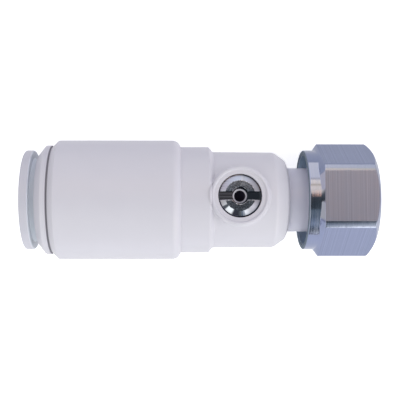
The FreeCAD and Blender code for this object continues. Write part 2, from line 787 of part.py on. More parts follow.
# Tail: a plain tube snapped into the housing, with a flange that the nut draws up to the tap.
def make_tail():
    body = new_body("tail")
    sketch = new_sketch(body, "tail_section")
    outline(sketch, [
        ("tail_start", "tail_bore_radius"),
        ("tail_start", "tail_radius"),
        ("tail_seal_start", "tail_radius"),
        ("tail_seal_start", "tail_seal_floor"),
        ("tail_seal_end", "tail_seal_floor"),
        ("tail_seal_end", "tail_radius"),
        ("barb_start", "tail_radius"),
        ("barb_end", "barb_radius"),
        ("barb_end", "tail_radius"),
        ("tail_flange_place", "tail_radius"),
        ("tail_flange_place", "tail_flange_radius"),
        ("washer_back", "tail_flange_radius"),
        ("washer_back", "tail_bore_radius"),
    ])
    turned(body, "tail_form", sketch)
    return body


# Flat ring between the nut's lip and the tail's flange.
def make_slip_ring():
    body = new_body("slip_ring")
    sketch = new_sketch(body, "slip_ring_section")
    outline(sketch, [
        ("slip_back", "slip_bore_radius"),
        ("slip_back", "tail_flange_radius"),
        ("slip_back + slip_ring", "tail_flange_radius"),
        ("slip_back + slip_ring", "slip_bore_radius"),
    ])
    turned(body, "slip_ring_form", sketch)
    return body


# Flat washer on the tail's face, squeezed against the tap.
def make_sealing_washer():
    body = new_body("sealing_washer")
    sketch = new_sketch(body, "sealing_washer_section")
    outline(sketch, [
        ("washer_back", "washer_bore_radius"),
        ("washer_back", "washer_radius"),
        ("washer_face", "washer_radius"),
        ("washer_face", "washer_bore_radius"),
    ])
    turned(body, "sealing_washer_form", sketch)
    return body


def long_edges(shape):
    """Find the edges that run straight along the flow line."""
    names = []
    for number, edge in enumerate(shape.Edges, start=1):
        start, end = edge.firstVertex().Point, edge.lastVertex().Point
        along = abs(end.x - start.x)
        if along > 0.99 * edge.Length:
            names.append("Edge%d" % number)
    return names


# Hexagon nut: a hollow turned collar, a hexagon with eased corners, and the tap thread's bore.
def make_union_nut():
    body = new_body("union_nut")
    hexagon = new_sketch(body, "hexagon_outline", "YZ_Plane", shift="hexagon_start")
    outline(hexagon, [
        ("nut_point * cos( %d deg )" % angle, "nut_point * sin( %d deg )" % angle)
        for angle in range(0, 360, 60)
    ])
    prism = straight(body, "hexagon_form", hexagon, "nut_reach - hexagon_start")
    doc.recompute()
    corners = body.newObject("PartDesign::Fillet", "hexagon_corners")
    corners.Base = (prism, long_edges(prism.Shape))
    corners.setExpression("Radius", bind("nut_corner_round"))

    ends = new_sketch(body, "hexagon_end_slopes")
    outline(ends, [
        ("hexagon_start", "nut_flat"),
        ("hexagon_start + nut_slope", "nut_slope_radius"),
        ("hexagon_start + nut_slope", "2 * nut_point"),
        ("hexagon_start - nut_slope", "2 * nut_point"),
        ("hexagon_start - nut_slope", "nut_flat"),
    ])
    outline(ends, [
        ("nut_reach", "nut_end_radius"),
        ("nut_reach + nut_slope", "nut_end_radius"),
        ("nut_reach + nut_slope", "2 * nut_point"),
        ("nut_reach - nut_end_slope", "2 * nut_point"),
        ("nut_reach - nut_end_slope", "nut_slope_radius"),
    ])
    turned(body, "hexagon_slopes", ends, "PartDesign::Groove")

    collar = new_sketch(body, "nut_collar_section")
    outline(collar, [
        ("nut_back", "0"),
        ("nut_back", "nut_flat - nut_collar_edge"),
        ("nut_back + nut_collar_edge", "nut_flat"),
        ("hexagon_start + nut_slope", "nut_flat"),
        ("hexagon_start + nut_slope", "0"),
    ])
    turned(body, "nut_collar_form", collar)

    bore = new_sketch(body, "nut_bore_section")
    outline(bore, [
        ("nut_back - nut_slope", "0"),
        ("nut_back - nut_slope", "nut_recess_radius + nut_collar_edge"),
        ("nut_back", "nut_recess_radius + nut_collar_edge"),
        ("nut_back + nut_collar_edge", "nut_recess_radius"),
        ("lip_back", "nut_recess_radius"),
        ("lip_back", "nut_lip_radius"),
        ("lip_face", "nut_lip_radius"),
        ("lip_face", "thread_radius"),
        ("relief_end", "thread_radius"),
        ("relief_end", "thread_bore_radius"),
        ("thread_end", "thread_bore_radius"),
        ("nut_reach", "thread_radius"),
        ("nut_reach + nut_slope", "thread_radius"),
        ("nut_reach + nut_slope", "0"),
    ])
    turned(body, "nut_bore", bore, "PartDesign::Groove")
    return body


NODES = [
    make_valve_body(),
    make_end_ring(),
    make_collet(),
    make_collet_teeth(),
    make_spacer_ring(),
    ring_of_rubber(
        "pipe_o_ring",
        "- pilot_length - seal_side_room - seal_section / 2",
        "seal_radius + seal_section / 2",
        "seal_section",
    ),
    make_inlet_seat(),
    ring_of_rubber(
        "inlet_seat_o_ring",
        "chamber_start + seat_face_room + seat_ring_section / 2",
        "chamber_radius - mould_fit - seat_ring_section / 2",
        "seat_ring_section",
    ),
    make_ball(),
    make_outlet_seat(),
    make_stem(),
    make_thrust_washer(),
    make_stem_seal(),
    make_tail(),
    ring_of_rubber(
        "tail_o_ring",
        "( tail_seal_start + tail_seal_end ) / 2",
        "chamber_radius - seal_clearance - tail_seal_section / 2",
        "tail_seal_section",
    ),
    make_slip_ring(),
    make_sealing_washer(),
    make_union_nut(),
]

doc.recompute()
for item in doc.Objects:
    if "Invalid" in item.State or "Error" in item.State:
        raise RuntimeError("could not build " + item.Label)
for node in NODES:
    if node.Shape.isNull() or not node.Shape.isValid():
        raise RuntimeError("no sound solid for " + node.Label)

os.makedirs("parts", exist_ok=True)
for node in NODES:
    node.Shape.exportStep("parts/%s.step" % node.Label)
    print(node.Label, len(node.Shape.Solids), "solids,", round(node.Shape.Volume, 1), "mm3")
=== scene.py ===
"""Service valve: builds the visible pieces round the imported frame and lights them.

The flow line is X, the stem stands along Z and the pipe stop is the origin. Sections are worked
out in millimetres and written to the meshes in metres.
"""

import math

import bmesh
import bpy
import numpy as np
from mathutils import Matrix, Vector


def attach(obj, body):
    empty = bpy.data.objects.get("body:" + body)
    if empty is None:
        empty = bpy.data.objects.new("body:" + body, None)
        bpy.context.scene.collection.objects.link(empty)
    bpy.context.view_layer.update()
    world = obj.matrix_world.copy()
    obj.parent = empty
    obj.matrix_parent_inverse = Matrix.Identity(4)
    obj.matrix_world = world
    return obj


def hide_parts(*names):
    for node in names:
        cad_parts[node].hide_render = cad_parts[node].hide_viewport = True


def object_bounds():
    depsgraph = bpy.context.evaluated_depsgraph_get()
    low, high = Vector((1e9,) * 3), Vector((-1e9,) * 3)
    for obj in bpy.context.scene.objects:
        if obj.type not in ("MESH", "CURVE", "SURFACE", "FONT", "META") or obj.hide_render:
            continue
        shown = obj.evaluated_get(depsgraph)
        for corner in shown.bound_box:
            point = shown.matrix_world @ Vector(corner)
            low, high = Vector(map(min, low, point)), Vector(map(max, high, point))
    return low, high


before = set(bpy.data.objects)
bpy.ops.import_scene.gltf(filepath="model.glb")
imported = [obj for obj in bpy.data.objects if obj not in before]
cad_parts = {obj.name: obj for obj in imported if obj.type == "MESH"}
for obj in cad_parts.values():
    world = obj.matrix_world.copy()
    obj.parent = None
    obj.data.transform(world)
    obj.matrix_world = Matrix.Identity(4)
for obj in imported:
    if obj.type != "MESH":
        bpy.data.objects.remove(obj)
CAD_BOX = [list(corner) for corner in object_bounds()]

bl_info = {
    "name": "Service valve",
    "version": (1, 0, 0),
    "blender": (4, 5, 0),
    "location": "3D View > Sidebar > Valve",
    "description": "Builds the pieces of a push-fit service valve round its packed frame",
    "category": "Object",
}

MM = 0.001
TURN = 2 * math.pi
COLUMNS = 240
ANGLES = np.arange(COLUMNS) * (TURN / COLUMNS)  # columns, from the far side up
SHARP = math.radians(32)  # edges that turn by more stay sharp in the shading
WELD = 2e-7  # distance in metres up to which points are one

# Rounds: most of a side that one may take, the holding row's distance in millimetres, its most
# of the rest of a side, and the radius from which a round has three times the steps.
SIDE_SHARE = 0.45
HOLD = 0.12
HOLD_SHARE = 0.4
BROAD = 0.5

# Body, in millimetres: how far the window in the housing begins before the step's end and ends
# after the boss, half the length of the opening in the chamber, how far an even row stays from
# the section's own, the least gap of two rows, and the reach of the smooth maximum.
WINDOW_START = 1.35
WINDOW_END = 1.5
OPENING = 6.9
ROW_CLEAR = 0.04
ROW_LEAST = 0.012
BLEND = 0.16

# Stem, in millimetres: how far up from the slot's floor the round of its edges fades in, and the
# depth of the cone that the drill leaves.
ROUND_FADE = 0.4
DRILL_TIP = 0.35

# Thread: shares of half a pitch that the ridge's flat top and its flank take up.
RIDGE_SHARE = 0.16
FLANK_SHARE = 0.68

# How a node group's outputs feed the shader, and the kinds of its sockets that aren't numbers.
SURFACE = {"Base Color": "Colour", "Roughness": "Roughness", "Normal": "Normal"}
SOCKET_KINDS = {
    "Colour": "NodeSocketColor",
    "Centre": "NodeSocketVector",
    "Normal": "NodeSocketVector",
}
GREY = (0.8, 0.8, 0.8, 1.0)

# Noise patterns: scale per metre, detail and roughness.
CLOUDS = (140.0, 3.0, 0.55)
PATCHES = (420.0, 2.0, 0.5)
RIPPLES = (260.0, 1.0, 0.4)
GRAIN = (5200.0, 2.0, 0.6)
DRIFT = (160.0, 2.0, 0.5)
MOTTLE = (2600.0, 2.0, 0.8)
TOOL_LINES = (2700.0, 2.0, 0.7)
FINE_LINES = (11000.0, 1.0, 0.5)
STREAKS = (2600.0, 2.0, 0.6)

# Amounts of them: patches and drift in the roughness, ripples beside the grain, tool lines in
# the colour, and fine lines beside the coarse ones. Then the rise of grain and lines in metres.
PATCH_SHARE = 0.16
DRIFT_SHARE = 0.07
RIPPLE_SHARE = 2.0
LINES_SHARE = 0.9
FINE_SHARE = 2.2
GRAIN_RISE = 0.00003
LINES_RISE = 0.000014

# Ranges in metres over which a mask goes from 0 to 1. The streaks' range is of a noise.
NUT_RANGES = {
    "flats": (0.000012, 0.000004),
    "hexagon": (0.0001, 0.0003),
    "hollow": (0.0108, 0.0106),
    "end": (-0.00238, -0.00250),
}
STEM_RANGES = {
    "inside": (0.00463, 0.00458),
    "deep": (0.01195, 0.0113),
    "ledge": (0.00466, 0.00470),
    "hole": (0.00140, 0.00135),
    "under": (0.01040, 0.01032),
    "lip": (0.00164, 0.00158),
    "crown": (0.01208, 0.01211),
    "hand": (-0.001, 0.001),
    "streak": (0.35, 0.65),
}

# Edges in metres of painted tones: of the painted shade in the seam about the cap's shoulder,
# and of the painted light on the collar's neck, outside its bore and behind its flange.
SEAM_EDGES = (-0.0001, 0.00005)
BORE_EDGES = (0.0004, 0.0008)
NECK_EDGES = (-0.0003, 0.0001)

# Nut: roughness of its ground flats and its hollow, tool lines of its hexagon, and roughness and
# metal of its rear face. Stem: its cloud away from the crown and on it.
FLATS_ROUGH = 0.30
HOLLOW_ROUGH = 0.36
HEXAGON_LINES = 0.18
END_ROUGH = 0.8
END_METALLIC = 0.3
CROWN_CLOUD = (0.1, 4.0)

# Floor: half its width in metres, its glow for the camera, and its glow in mirrors, as a far and
# a near place and the glow at each.
FLOOR_REACH = 1.2
FLOOR_GLOW = 0.56
MIRRORED_GLOW = (0.03, -0.055, 0.15, 0.48)

# Soft light: its change with height, its level, and the square and plain parts of its change
# along the flow line.
SOFT_UP = -0.8
SOFT_LEVEL = 1.53
SOFT_LEAN = (0.55, 0.65)

# Where one part of the surroundings gives way to the next, as shares of a direction: towards the
# nut, along the flow line either way, across it, and the lean at which the last one ends.
NUT_LEAN = (0.185, 0.197)
WALL_LEAN = (0.26, 0.30)
WALL_SLANT = (0.45, 0.55)
SLANT_END = (0.12, 0.14)

LAMP_WIDTH = 0.17  # metres
LAMP_AIM = (0.012, 0.0, 0.0)

# What metal mirrors in the middle: degrees from the zenith towards the far side, and a colour.
SURROUNDINGS = (
    (-108, 0.95, 0.95, 0.95),
    (-98, 0.66, 0.62, 0.60),
    (-86, 0.70, 0.70, 0.66),
    (-77, 0.14, 0.17, 0.18),
    (-69, 0.30, 0.38, 0.42),
    (-61, 0.56, 0.66, 0.70),
    (-44, 0.26, 0.33, 0.35),
    (-28, 0.26, 0.33, 0.32),
    (-24, 0.06, 0.08, 0.08),
    (-2, 0.10, 0.11, 0.10),
    (3, 0.17, 0.18, 0.16),
    (7, 0.27, 0.27, 0.24),
    (13, 1.70, 1.46, 1.05),
    (22, 2.45, 2.00, 1.42),
    (27, 2.30, 1.85, 1.30),
    (30, 1.30, 1.00, 0.60),
    (33, 2.30, 1.85, 1.30),
    (40, 2.65, 2.20, 1.55),
    (45, 1.20, 1.05, 0.90),
    (49, 1.85, 1.70, 1.45),
    (90, 1.90, 1.75, 1.45),
    (98, 1.00, 0.98, 0.94),
)
# The same, where the direction leans towards the nut.
NUT_SIDE = (
    (-112, 1.45, 1.42, 1.25),
    (-96, 3.40, 3.30, 2.70),
    (-82, 3.40, 3.30, 2.70),
    (-72, 2.40, 2.30, 1.90),
    (-60, 1.60, 1.56, 1.30),
    (-46, 1.05, 1.06, 0.92),
    (-32, 0.65, 0.68, 0.61),
    (-14, 0.25, 0.30, 0.28),
    (2, 0.25, 0.25, 0.22),
    (5, 3.98, 2.15, 1.22),
    (15, 3.98, 2.15, 1.22),
    (19, 1.68, 1.46, 0.98),
    (36, 1.74, 1.56, 1.08),
    (44, 1.54, 1.46, 1.24),
    (104, 1.50, 1.46, 1.28),
)
# Walls: degrees from the nut's side towards the far side, round the zenith, and a colour.
WALLS = (
    (-166, 1.30, 1.20, 0.95),
    (-152, 1.70, 1.62, 1.30),
    (-149, 0.25, 0.27, 0.24),
    (-140, 0.25, 0.27, 0.24),
    (-137, 2.95, 2.90, 2.25),
    (-116, 2.95, 2.90, 2.25),
    (-109, 0.12, 0.12, 0.12),
    (-92, 0.10, 0.10, 0.10),
    (-81, 0.34, 0.36, 0.30),
    (-66, 2.90, 2.80, 2.25),
    (-46, 1.75, 1.62, 1.32),
    (-30, 1.85, 1.68, 1.42),
    (-12, 1.10, 0.97, 0.82),
    (24, 1.02, 0.91, 0.76),
    (48, 1.24, 1.12, 0.96),
    (76, 1.66, 1.62, 1.48),
    (96, 1.62, 1.62, 1.48),
    (140, 1.36, 1.20, 1.08),
    (158, 1.40, 1.25, 1.08),
)
# Soft light: the direction's share towards the far side, and a colour.
SOFT_LIGHT = (
    (-1.0, 1.82, 1.92, 1.98),
    (-0.3, 1.50, 1.52, 1.53),
    (0.2, 0.84, 0.84, 0.87),
    (0.6, 0.68, 0.68, 0.78),
    (1.0, 2.20, 2.25, 2.55),
)


def size(name, description, millimetres):
    """Give a length property whose default is written in millimetres."""
    return bpy.props.FloatProperty(
        name=name,
        description=description,
        default=millimetres * MM,
        precision=5,
        subtype="DISTANCE",
        unit="LENGTH",
    )


def angle(name, description, degrees):
    """Give an angle property whose default is written in degrees."""
    return bpy.props.FloatProperty(
        name=name,
        description=description,
        default=math.radians(degrees),
        subtype="ANGLE",
        unit="ROTATION",
    )


def number(name, description, value):
    """Give a plain number property."""
    return bpy.props.FloatProperty(name=name, description=description, default=value)


def colour(name, description, red, green, blue):
    """Give a colour property in linear red, green and blue."""
    return bpy.props.FloatVectorProperty(
        name=name,
        description=description,
        default=(red, green, blue, 1.0),
        size=4,
        min=0.0,
        max=1.0,
        subtype="COLOR",
    )


class ValveBodySizes(bpy.types.PropertyGroup):
    """Sizes of the moulding with the socket, the step, the ball housing and the stem boss."""

    mouth: size("Socket mouth", "Distance of the socket's mouth before the pipe stop", 23.3)
    lead: size("Mouth chamfer", "Chamfer round the barrel's mouth", 1.3)
    barrel: size("Barrel radius", "Outer radius of the barrel", 14.2)
    barrel_end: size("Barrel end", "Distance of the barrel's end after the pipe stop", 6.87)
    barrel_round: size("Barrel round", "Length of the round at the barrel's end", 1.95)
    step: size("Step radius", "Outer radius of the step", 12.65)
    step_end: size("Step end", "Distance of the step's end after the pipe stop", 13.52)
    step_slope: size("Step slope", "Length of the slope after the step", 1.0)
    housing: size("Housing radius", "Outer radius of the ball housing", 11.45)
    housing_draft: size("Housing draft", "Drop in radius along the housing", 0.12)
    housing_end: size("Housing end", "Distance of the housing's end after the pipe stop", 32.2)
    shoulder: size("Shoulder length", "Length of the shoulder's slope", 2.6)
    shoulder_drop: size("Shoulder drop", "Drop in radius along the shoulder's slope", 1.86)
    shoulder_nose: size("Shoulder nose", "Length of the steep end after the slope", 0.65)
    shoulder_rim: size("Shoulder rim", "Width of the rim round the tail", 0.18)
    shoulder_ease: size("Shoulder ease", "Round where the shoulder begins", 1.6)
    ease: size("Edge ease", "Small round on moulded edges", 0.22)
    chamber: size("Chamber radius", "Radius of the bore that holds ball, seats and tail", 7.65)
    chamber_start: size("Chamber start", "Distance of the chamber after the pipe stop", 12.17)
    barb_start: size("Snap groove start", "Start of the groove for the tail's barb", 29.42)
    barb_end: size("Snap groove end", "End of the groove for the tail's barb", 30.82)
    barb: size("Snap groove radius", "Radius of the groove for the tail's barb", 8.15)
    throat: size("Throat radius", "Radius of the waterway at the inlet seat", 4.5)
    stop_bore: size("Stop bore radius", "Radius of the waterway at the pipe stop", 5.9)
    socket: size("Pilot bore radius", "Radius of the bore that guides the pipe", 7.6)
    pilot: size("Pilot bore length", "Length of the bore that guides the pipe", 7.4)
    pilot_lead: size("Pilot chamfer", "Chamfer at the start of the pilot bore", 0.5)
    seal_pocket: size("Seal pocket radius", "Radius of the pocket for the pipe seal", 10.24)
    spacer_step: size("Counterbore floor", "Distance of the counterbore's floor", 11.6)
    counterbore: size("Counterbore radius", "Radius of the bore that takes the cap ring", 12.55)
    snap_start: size("Snap start", "Nearer end of the cap ring's snap groove", 18.9)
    snap_end: size("Snap end", "Farther end of the cap ring's snap groove", 20.3)
    snap: size("Snap radius", "Radius of the cap ring's snap groove", 12.85)
    stem_place: size("Stem place", "Distance of the stem's axis after the pipe stop", 20.27)
    boss: size("Boss radius", "Outer radius of the stem boss at its foot", 6.87)
    boss_draft: size("Boss draft", "Drop in radius from the boss's foot to its top", 0.04)
    boss_top: size("Boss top", "Height of the boss's lip over the flow line", 12.3)
    boss_round: size("Boss round", "Round on the boss's outer edge", 0.6)
    boss_lip: size("Boss lip radius", "Inner radius of the boss's raised lip", 6.15)
    boss_floor: size("Boss floor", "Height of the flat land round the stem", 11.95)
    boss_floor_radius: size("Boss floor radius", "Outer radius of that land", 5.85)
    boss_blend: size("Boss foot round", "Round at the boss's foot", 0.4)
    stem_bore: size("Stem bore radius", "Radius of the bore that the stem turns in", 4.96)
    stem_roof: size("Stem pocket roof", "Height of the stem pocket's roof", 9.0)
    stem_pocket: size("Stem pocket radius", "Radius of the pocket for the stem's collar", 5.65)
    stop_recess: size("Stop recess radius", "Radius of the recess that the stop lug runs in", 6.57)
    stop_roof: size("Stop recess roof", "Height of the stop recess's roof", 8.66)
    stop_sweep: angle("Stop recess sweep", "Angle that the stop recess spans", 108)
    stop_middle: angle("Stop recess middle", "Direction of the stop recess's middle", 0)


class ValveCapSizes(bpy.types.PropertyGroup):
    """Sizes of the cap ring and of the gripping collar that slides in it."""

    shoulder: size("Cap shoulder", "Distance of the cap's shoulder before the pipe stop", 23.7)
    rim: size("Cap rim", "Length of the cap's round rim", 1.25)
    slope: size("Cap slope", "Length of the cap's sloping nose", 1.65)
    cap: size("Cap radius", "Outer radius of the cap's rim", 13.03)
    nose: size("Nose radius", "Outer radius of the cap's nose", 10.95)
    mouth: size("Mouth radius", "Radius of the cap's mouth round the collar", 10.75)
    spigot: size("Spigot radius", "Outer radius of the spigot in the barrel", 12.5)
    spigot_end: size("Spigot end", "Distance of the spigot's end before the pipe stop", 12.5)
    snap_start: size("Snap rib start", "Nearer end of the snap rib", 18.9)
    snap_end: size("Snap rib end", "Farther end of the snap rib", 20.25)
    snap: size("Snap rib radius", "Radius of the snap rib", 12.8)
    cage: size("Cage radius", "Radius of the room for the finger heads", 11.4)
    wedge_start: size("Wedge start", "Outer end of the wedge that closes the fingers", 17.61)
    wedge_end: size("Wedge end", "Inner end of that wedge", 16.22)
    ease: size("Cap ease", "Small round on the cap's edges", 0.2)
    collar_front: size("Collar front", "Distance of the collar's front before the pipe stop", 29.9)
    flange: size("Flange thickness", "Thickness of the collar's flange", 2.0)
    flange_radius: size("Flange radius", "Outer radius of the collar's flange", 11.83)
    flange_ease: size("Flange chamfer", "Chamfer round the flange's edges", 0.2)
    neck: size("Neck radius", "Outer radius of the collar's neck", 9.95)
    neck_length: size("Neck length", "Length of the neck before the fingers", 4.1)
    neck_taper: size("Neck taper", "Length of the taper from neck to fingers", 1.0)
    finger: size("Finger radius", "Outer radius of the fingers", 9.8)
    head: size("Finger head radius", "Outer radius of the finger heads", 11.2)
    head_length: size("Finger head length", "Length of the finger heads", 2.1)
    ramp: size("Finger ramp", "Length of the ramp up to the finger heads", 3.0)
    collar_end: size("Collar end", "Distance of the collar's end before the pipe stop", 14.3)
    bore: size("Collar bore radius", "Radius of the collar's bore", 7.75)
    finger_slot: size("Finger slot", "Width of the slots between the fingers", 1.2)
    fingers: bpy.props.IntProperty(
        name="Fingers", description="Number of fingers on the collar", default=8, min=3
    )


class ValveStemSizes(bpy.types.PropertyGroup):
    """Sizes of the slotted stem."""

    place: size("Stem place", "Distance of the stem's axis after the pipe stop", 20.27)
    crown: size("Crown height", "Height of the stem's flat top", 12.15)
    crown_radius: size("Crown radius", "Radius of the flat top", 3.45)
    crown_drop: size("Crown drop", "Height that the crown falls to its edge", 0.02)
    rim: size("Rim radius", "Radius of the rim under the sloping ring", 4.65)
    rim_height: size("Rim height", "Height of the rim's upper edge", 11.6)
    land: size("Land height", "Height of the small ledge round the rim", 11.3)
    radius: size("Stem radius", "Radius of the stem in its bore", 4.9)
    slot: size("Slot width", "Width of the screwdriver slot", 1.9)
    slot_round: size("Slot edge round", "Round on the slot's upper edges", 0.11)
    slot_floor: size("Slot floor", "Height of the slot's floor", 10.75)
    pit: size("Pit radius", "Radius of the round pit in the middle of the slot", 1.95)
    hole: size("Hole radius", "Radius of the centre hole", 1.27)
    hole_lead: size("Hole chamfer", "Chamfer at the centre hole", 0.4)
    hole_floor: size("Hole floor", "Height of the centre hole's floor", 8.15)
    ease: size("Edge ease", "Small round on the stem's edges", 0.07)
    seal_start: size("Seal groove start", "Lower end of the seal groove", 9.2)
    seal_end: size("Seal groove end", "Upper end of the seal groove", 10.47)
    seal: size("Seal groove radius", "Radius of the seal groove's floor", 3.74)
    collar: size("Stem collar radius", "Radius of the collar that keeps the stem in", 5.55)
    collar_top: size("Stem collar top", "Height of that collar's upper face", 8.54)
    collar_floor: size("Stem collar floor", "Height of that collar's lower face", 7.79)
    lug: size("Stop lug radius", "Radius of the stop lug", 6.45)
    lug_middle: angle("Stop lug direction", "Direction of the stop lug at rest", 45)
    lug_sweep: angle("Stop lug sweep", "Angle that the stop lug spans", 16)
    tang: size("Tang thickness", "Thickness of the tang that turns the ball", 1.9)
    tang_width: size("Tang half width", "Half the width of the tang", 3.0)
    tang_end: size("Tang end", "Height of the tang's lower end", 5.0)


class ValveTailSizes(bpy.types.PropertyGroup):
    """Sizes of the tail tube and of the sealing washer on its flange."""

    start: size("Tail start", "Distance of the tail's inner end after the pipe stop", 26.42)
    radius: size("Tail radius", "Outer radius of the tail", 7.6)
    bore: size("Tail bore radius", "Radius of the waterway in the tail", 5.0)
    seal_start: size("Seal groove start", "Start of the tail's seal groove", 27.27)
    seal_end: size("Seal groove end", "End of the tail's seal groove", 28.83)
    seal: size("Seal groove radius", "Radius of the seal groove's floor", 6.25)
    barb_start: size("Barb start", "Start of the barb's ramp", 29.47)
    barb_end: size("Barb end", "End of the barb's ramp", 30.77)
    barb: size("Barb radius", "Radius of the barb", 8.1)
    flange_start: size("Flange start", "Distance of the flange after the pipe stop", 41.6)
    flange_end: size("Flange end", "Distance of the flange's face after the pipe stop", 43.2)
    flange: size("Flange radius", "Radius of the flange", 9.0)
    washer_end: size("Washer face", "Distance of the washer's face after the pipe stop", 45.2)
    washer_bore: size("Washer bore radius", "Radius of the washer's bore", 5.2)
    washer: size("Washer radius", "Outer radius of the washer", 8.95)
    ease: size("Edge ease", "Small round on the tail's edges", 0.18)


class ValveNutSizes(bpy.types.PropertyGroup):
    """Sizes of the hexagon nut."""

    back: size("Nut back", "Distance of the collar's end after the pipe stop", 36.0)
    hexagon: size("Hexagon start", "Distance of the slope's foot after the pipe stop", 38.5)
    slope: size("Hexagon slope", "Length of the slope that leads up to the hexagon", 1.08)
    slope_radius: size("Slope radius", "Radius that the slopes end at", 13.501)
    reach: size("Nut face", "Distance of the nut's face after the pipe stop", 52.4)
    flat: size("Half across flats", "Half the width across flats", 12.0)
    corner: size("Corner round", "Round on the hexagon's corners", 2.3)
    collar: size("Collar radius", "Outer radius of the round collar", 11.88)
    foot: size("Slope foot", "Lag of the slope's foot at the middle of a flat", 0.25)
    end_radius: size("Face radius", "Outer radius of the nut's flat face", 11.25)
    end_slope: size("End slope", "Length of the slope at the nut's face", 1.3)
    recess: size("Recess radius", "Radius of the hollow in the collar", 10.6)
    lip_start: size("Lip start", "Start of the lip that the flange pulls on", 38.9)
    lip_end: size("Lip end", "End of that lip", 40.9)
    lip: size("Lip radius", "Radius of the hole through the lip", 8.0)
    thread: size("Thread radius", "Major radius of the thread", 10.48)
    thread_bore: size("Thread bore radius", "Minor radius of the thread", 9.32)
    relief_end: size("Relief end", "End of the relief behind the thread", 45.6)
    pitch: size("Thread pitch", "Distance between the thread's turns", 1.814)
    ease: size("Edge ease", "Small round on the nut's edges", 0.14)


class ValveColours(bpy.types.PropertyGroup):
    """Colours of the finishes and of painted light and shade, in linear values."""

    moulding: colour("White moulding", "Body and cap ring", 0.61, 0.592, 0.645)
    collar: colour("Collar plastic", "Gripping collar", 0.54, 0.53, 0.59)
    tail: colour("Tail plastic", "Pale tube", 0.62, 0.61, 0.715)
    seat: colour("Seat plastic", "Ball seats and thrust washer", 0.80, 0.79, 0.75)
    slip: colour("Slip plastic", "Ring behind the flange", 0.78, 0.76, 0.70)
    plate: colour("Nut plating", "Hexagon nut", 0.245, 0.275, 0.41)
    stem_plate: colour("Stem plating", "Stem and ball", 0.31, 0.335, 0.455)
    tooth: colour("Tooth steel", "Teeth in the collar", 0.42, 0.43, 0.45)
    seal: colour("Seal rubber", "Rubber rings", 0.014, 0.014, 0.015)
    washer: colour("Washer rubber", "Sealing washer", 0.035, 0.036, 0.040)
    # Painted shade: a darker tone in the seam behind the cap, where shade gathers.
    seam: colour("Seam", "Inner side of the seam behind the cap", 0.30, 0.29, 0.33)
    # Painted light: a lighter tone on the collar's neck, which lies in shade.
    neck: colour("Collar neck", "Neck of the gripping collar", 0.69, 0.73, 0.80)
    # Painted light: the nut's hollow and bore are lighter than its plating.
    nut_hollow: colour("Nut hollow", "Hollow in the nut's collar", 0.46, 0.54, 0.65)
    nut_bore: colour("Nut bore", "Bore and thread of the hexagon", 0.34, 0.40, 0.50)
    # Painted shade: the nut's rear face is darker than its plating.
    nut_end: colour("Nut end", "Rear face of the nut's collar", 0.15, 0.19, 0.25)
    # Painted shade in the stem's slot: streaked on the socket's side, darker on the nut's side.
    slot_dark: colour("Slot, dark", "Dark streaks in the slot", 0.085, 0.080, 0.115)
    slot_bright: colour("Slot, bright", "Bright streaks in the slot", 0.32, 0.31, 0.40)
    slot_shade: colour("Slot, nut's side", "Slot on the nut's side", 0.07, 0.085, 0.125)
    # Painted highlight: the hole's chamfer is pale.
    hole_lip: colour("Hole chamfer", "Chamfer of the centre hole", 0.62, 0.60, 0.66)
    # Painted shade: the centre hole is near-black.
    hole: colour("Hole", "Centre hole of the stem", 0.03, 0.026, 0.05)
    floor: colour("Floor", "Studio floor", 0.92, 0.92, 0.92)
    floor_mirrored: colour("Mirrored floor", "Floor as metal shows it", 0.77, 0.77, 0.77)


class ValveStage(bpy.types.PropertyGroup):
    """Camera, lamps and surroundings."""

    camera_across: size("Camera across", "Camera's place along the flow line", 5.44)
    camera_side: size("Camera side", "Camera's place along Y", -16.22)
    camera_up: size("Camera height", "Camera's height over the flow line", 196.8)
    aim_across: size("Aim across", "Point that the camera looks at, along the flow line", 6.75)
    aim_side: size("Aim side", "Point that the camera looks at, along Y", -0.036)
    roll: angle("Camera roll", "Turn of the camera about its line of sight", 0.02)
    lens: number("Lens", "Focal length in millimetres for the usual sensor", 73.99)
    lens_shift: number("Lens shift", "Sideways shift of the lens, in widths of the picture", 0.05)
    right_power: number("Right lamp", "Power of the soft lamp near the nut, in watts", 0.38)
    left_power: number("Left lamp", "Power of the soft lamp near the socket, in watts", 0.36)
    world: number("Surroundings", "Strength of the studio's surroundings", 0.505)


def stacked(*parts):
    """Put coordinates together as points on the last axis."""
    return np.stack(np.broadcast_arrays(*parts), -1)


def unit_rows(vectors):
    """Scale the vectors on the last axis to length one; a null vector stays null."""
    length = np.linalg.norm(vectors, axis=-1, keepdims=True)
    return vectors / np.maximum(length, 1e-12)


def steps(count, most=1.0):
    """Even steps from above zero up to a most."""
    return np.linspace(0.0, most, count + 1)[1:]


def near(angles, middle, sweep):
    """Tell which angles lie within half a sweep of a middle."""
    return np.abs((angles - middle + math.pi) % TURN - math.pi) < sweep / 2


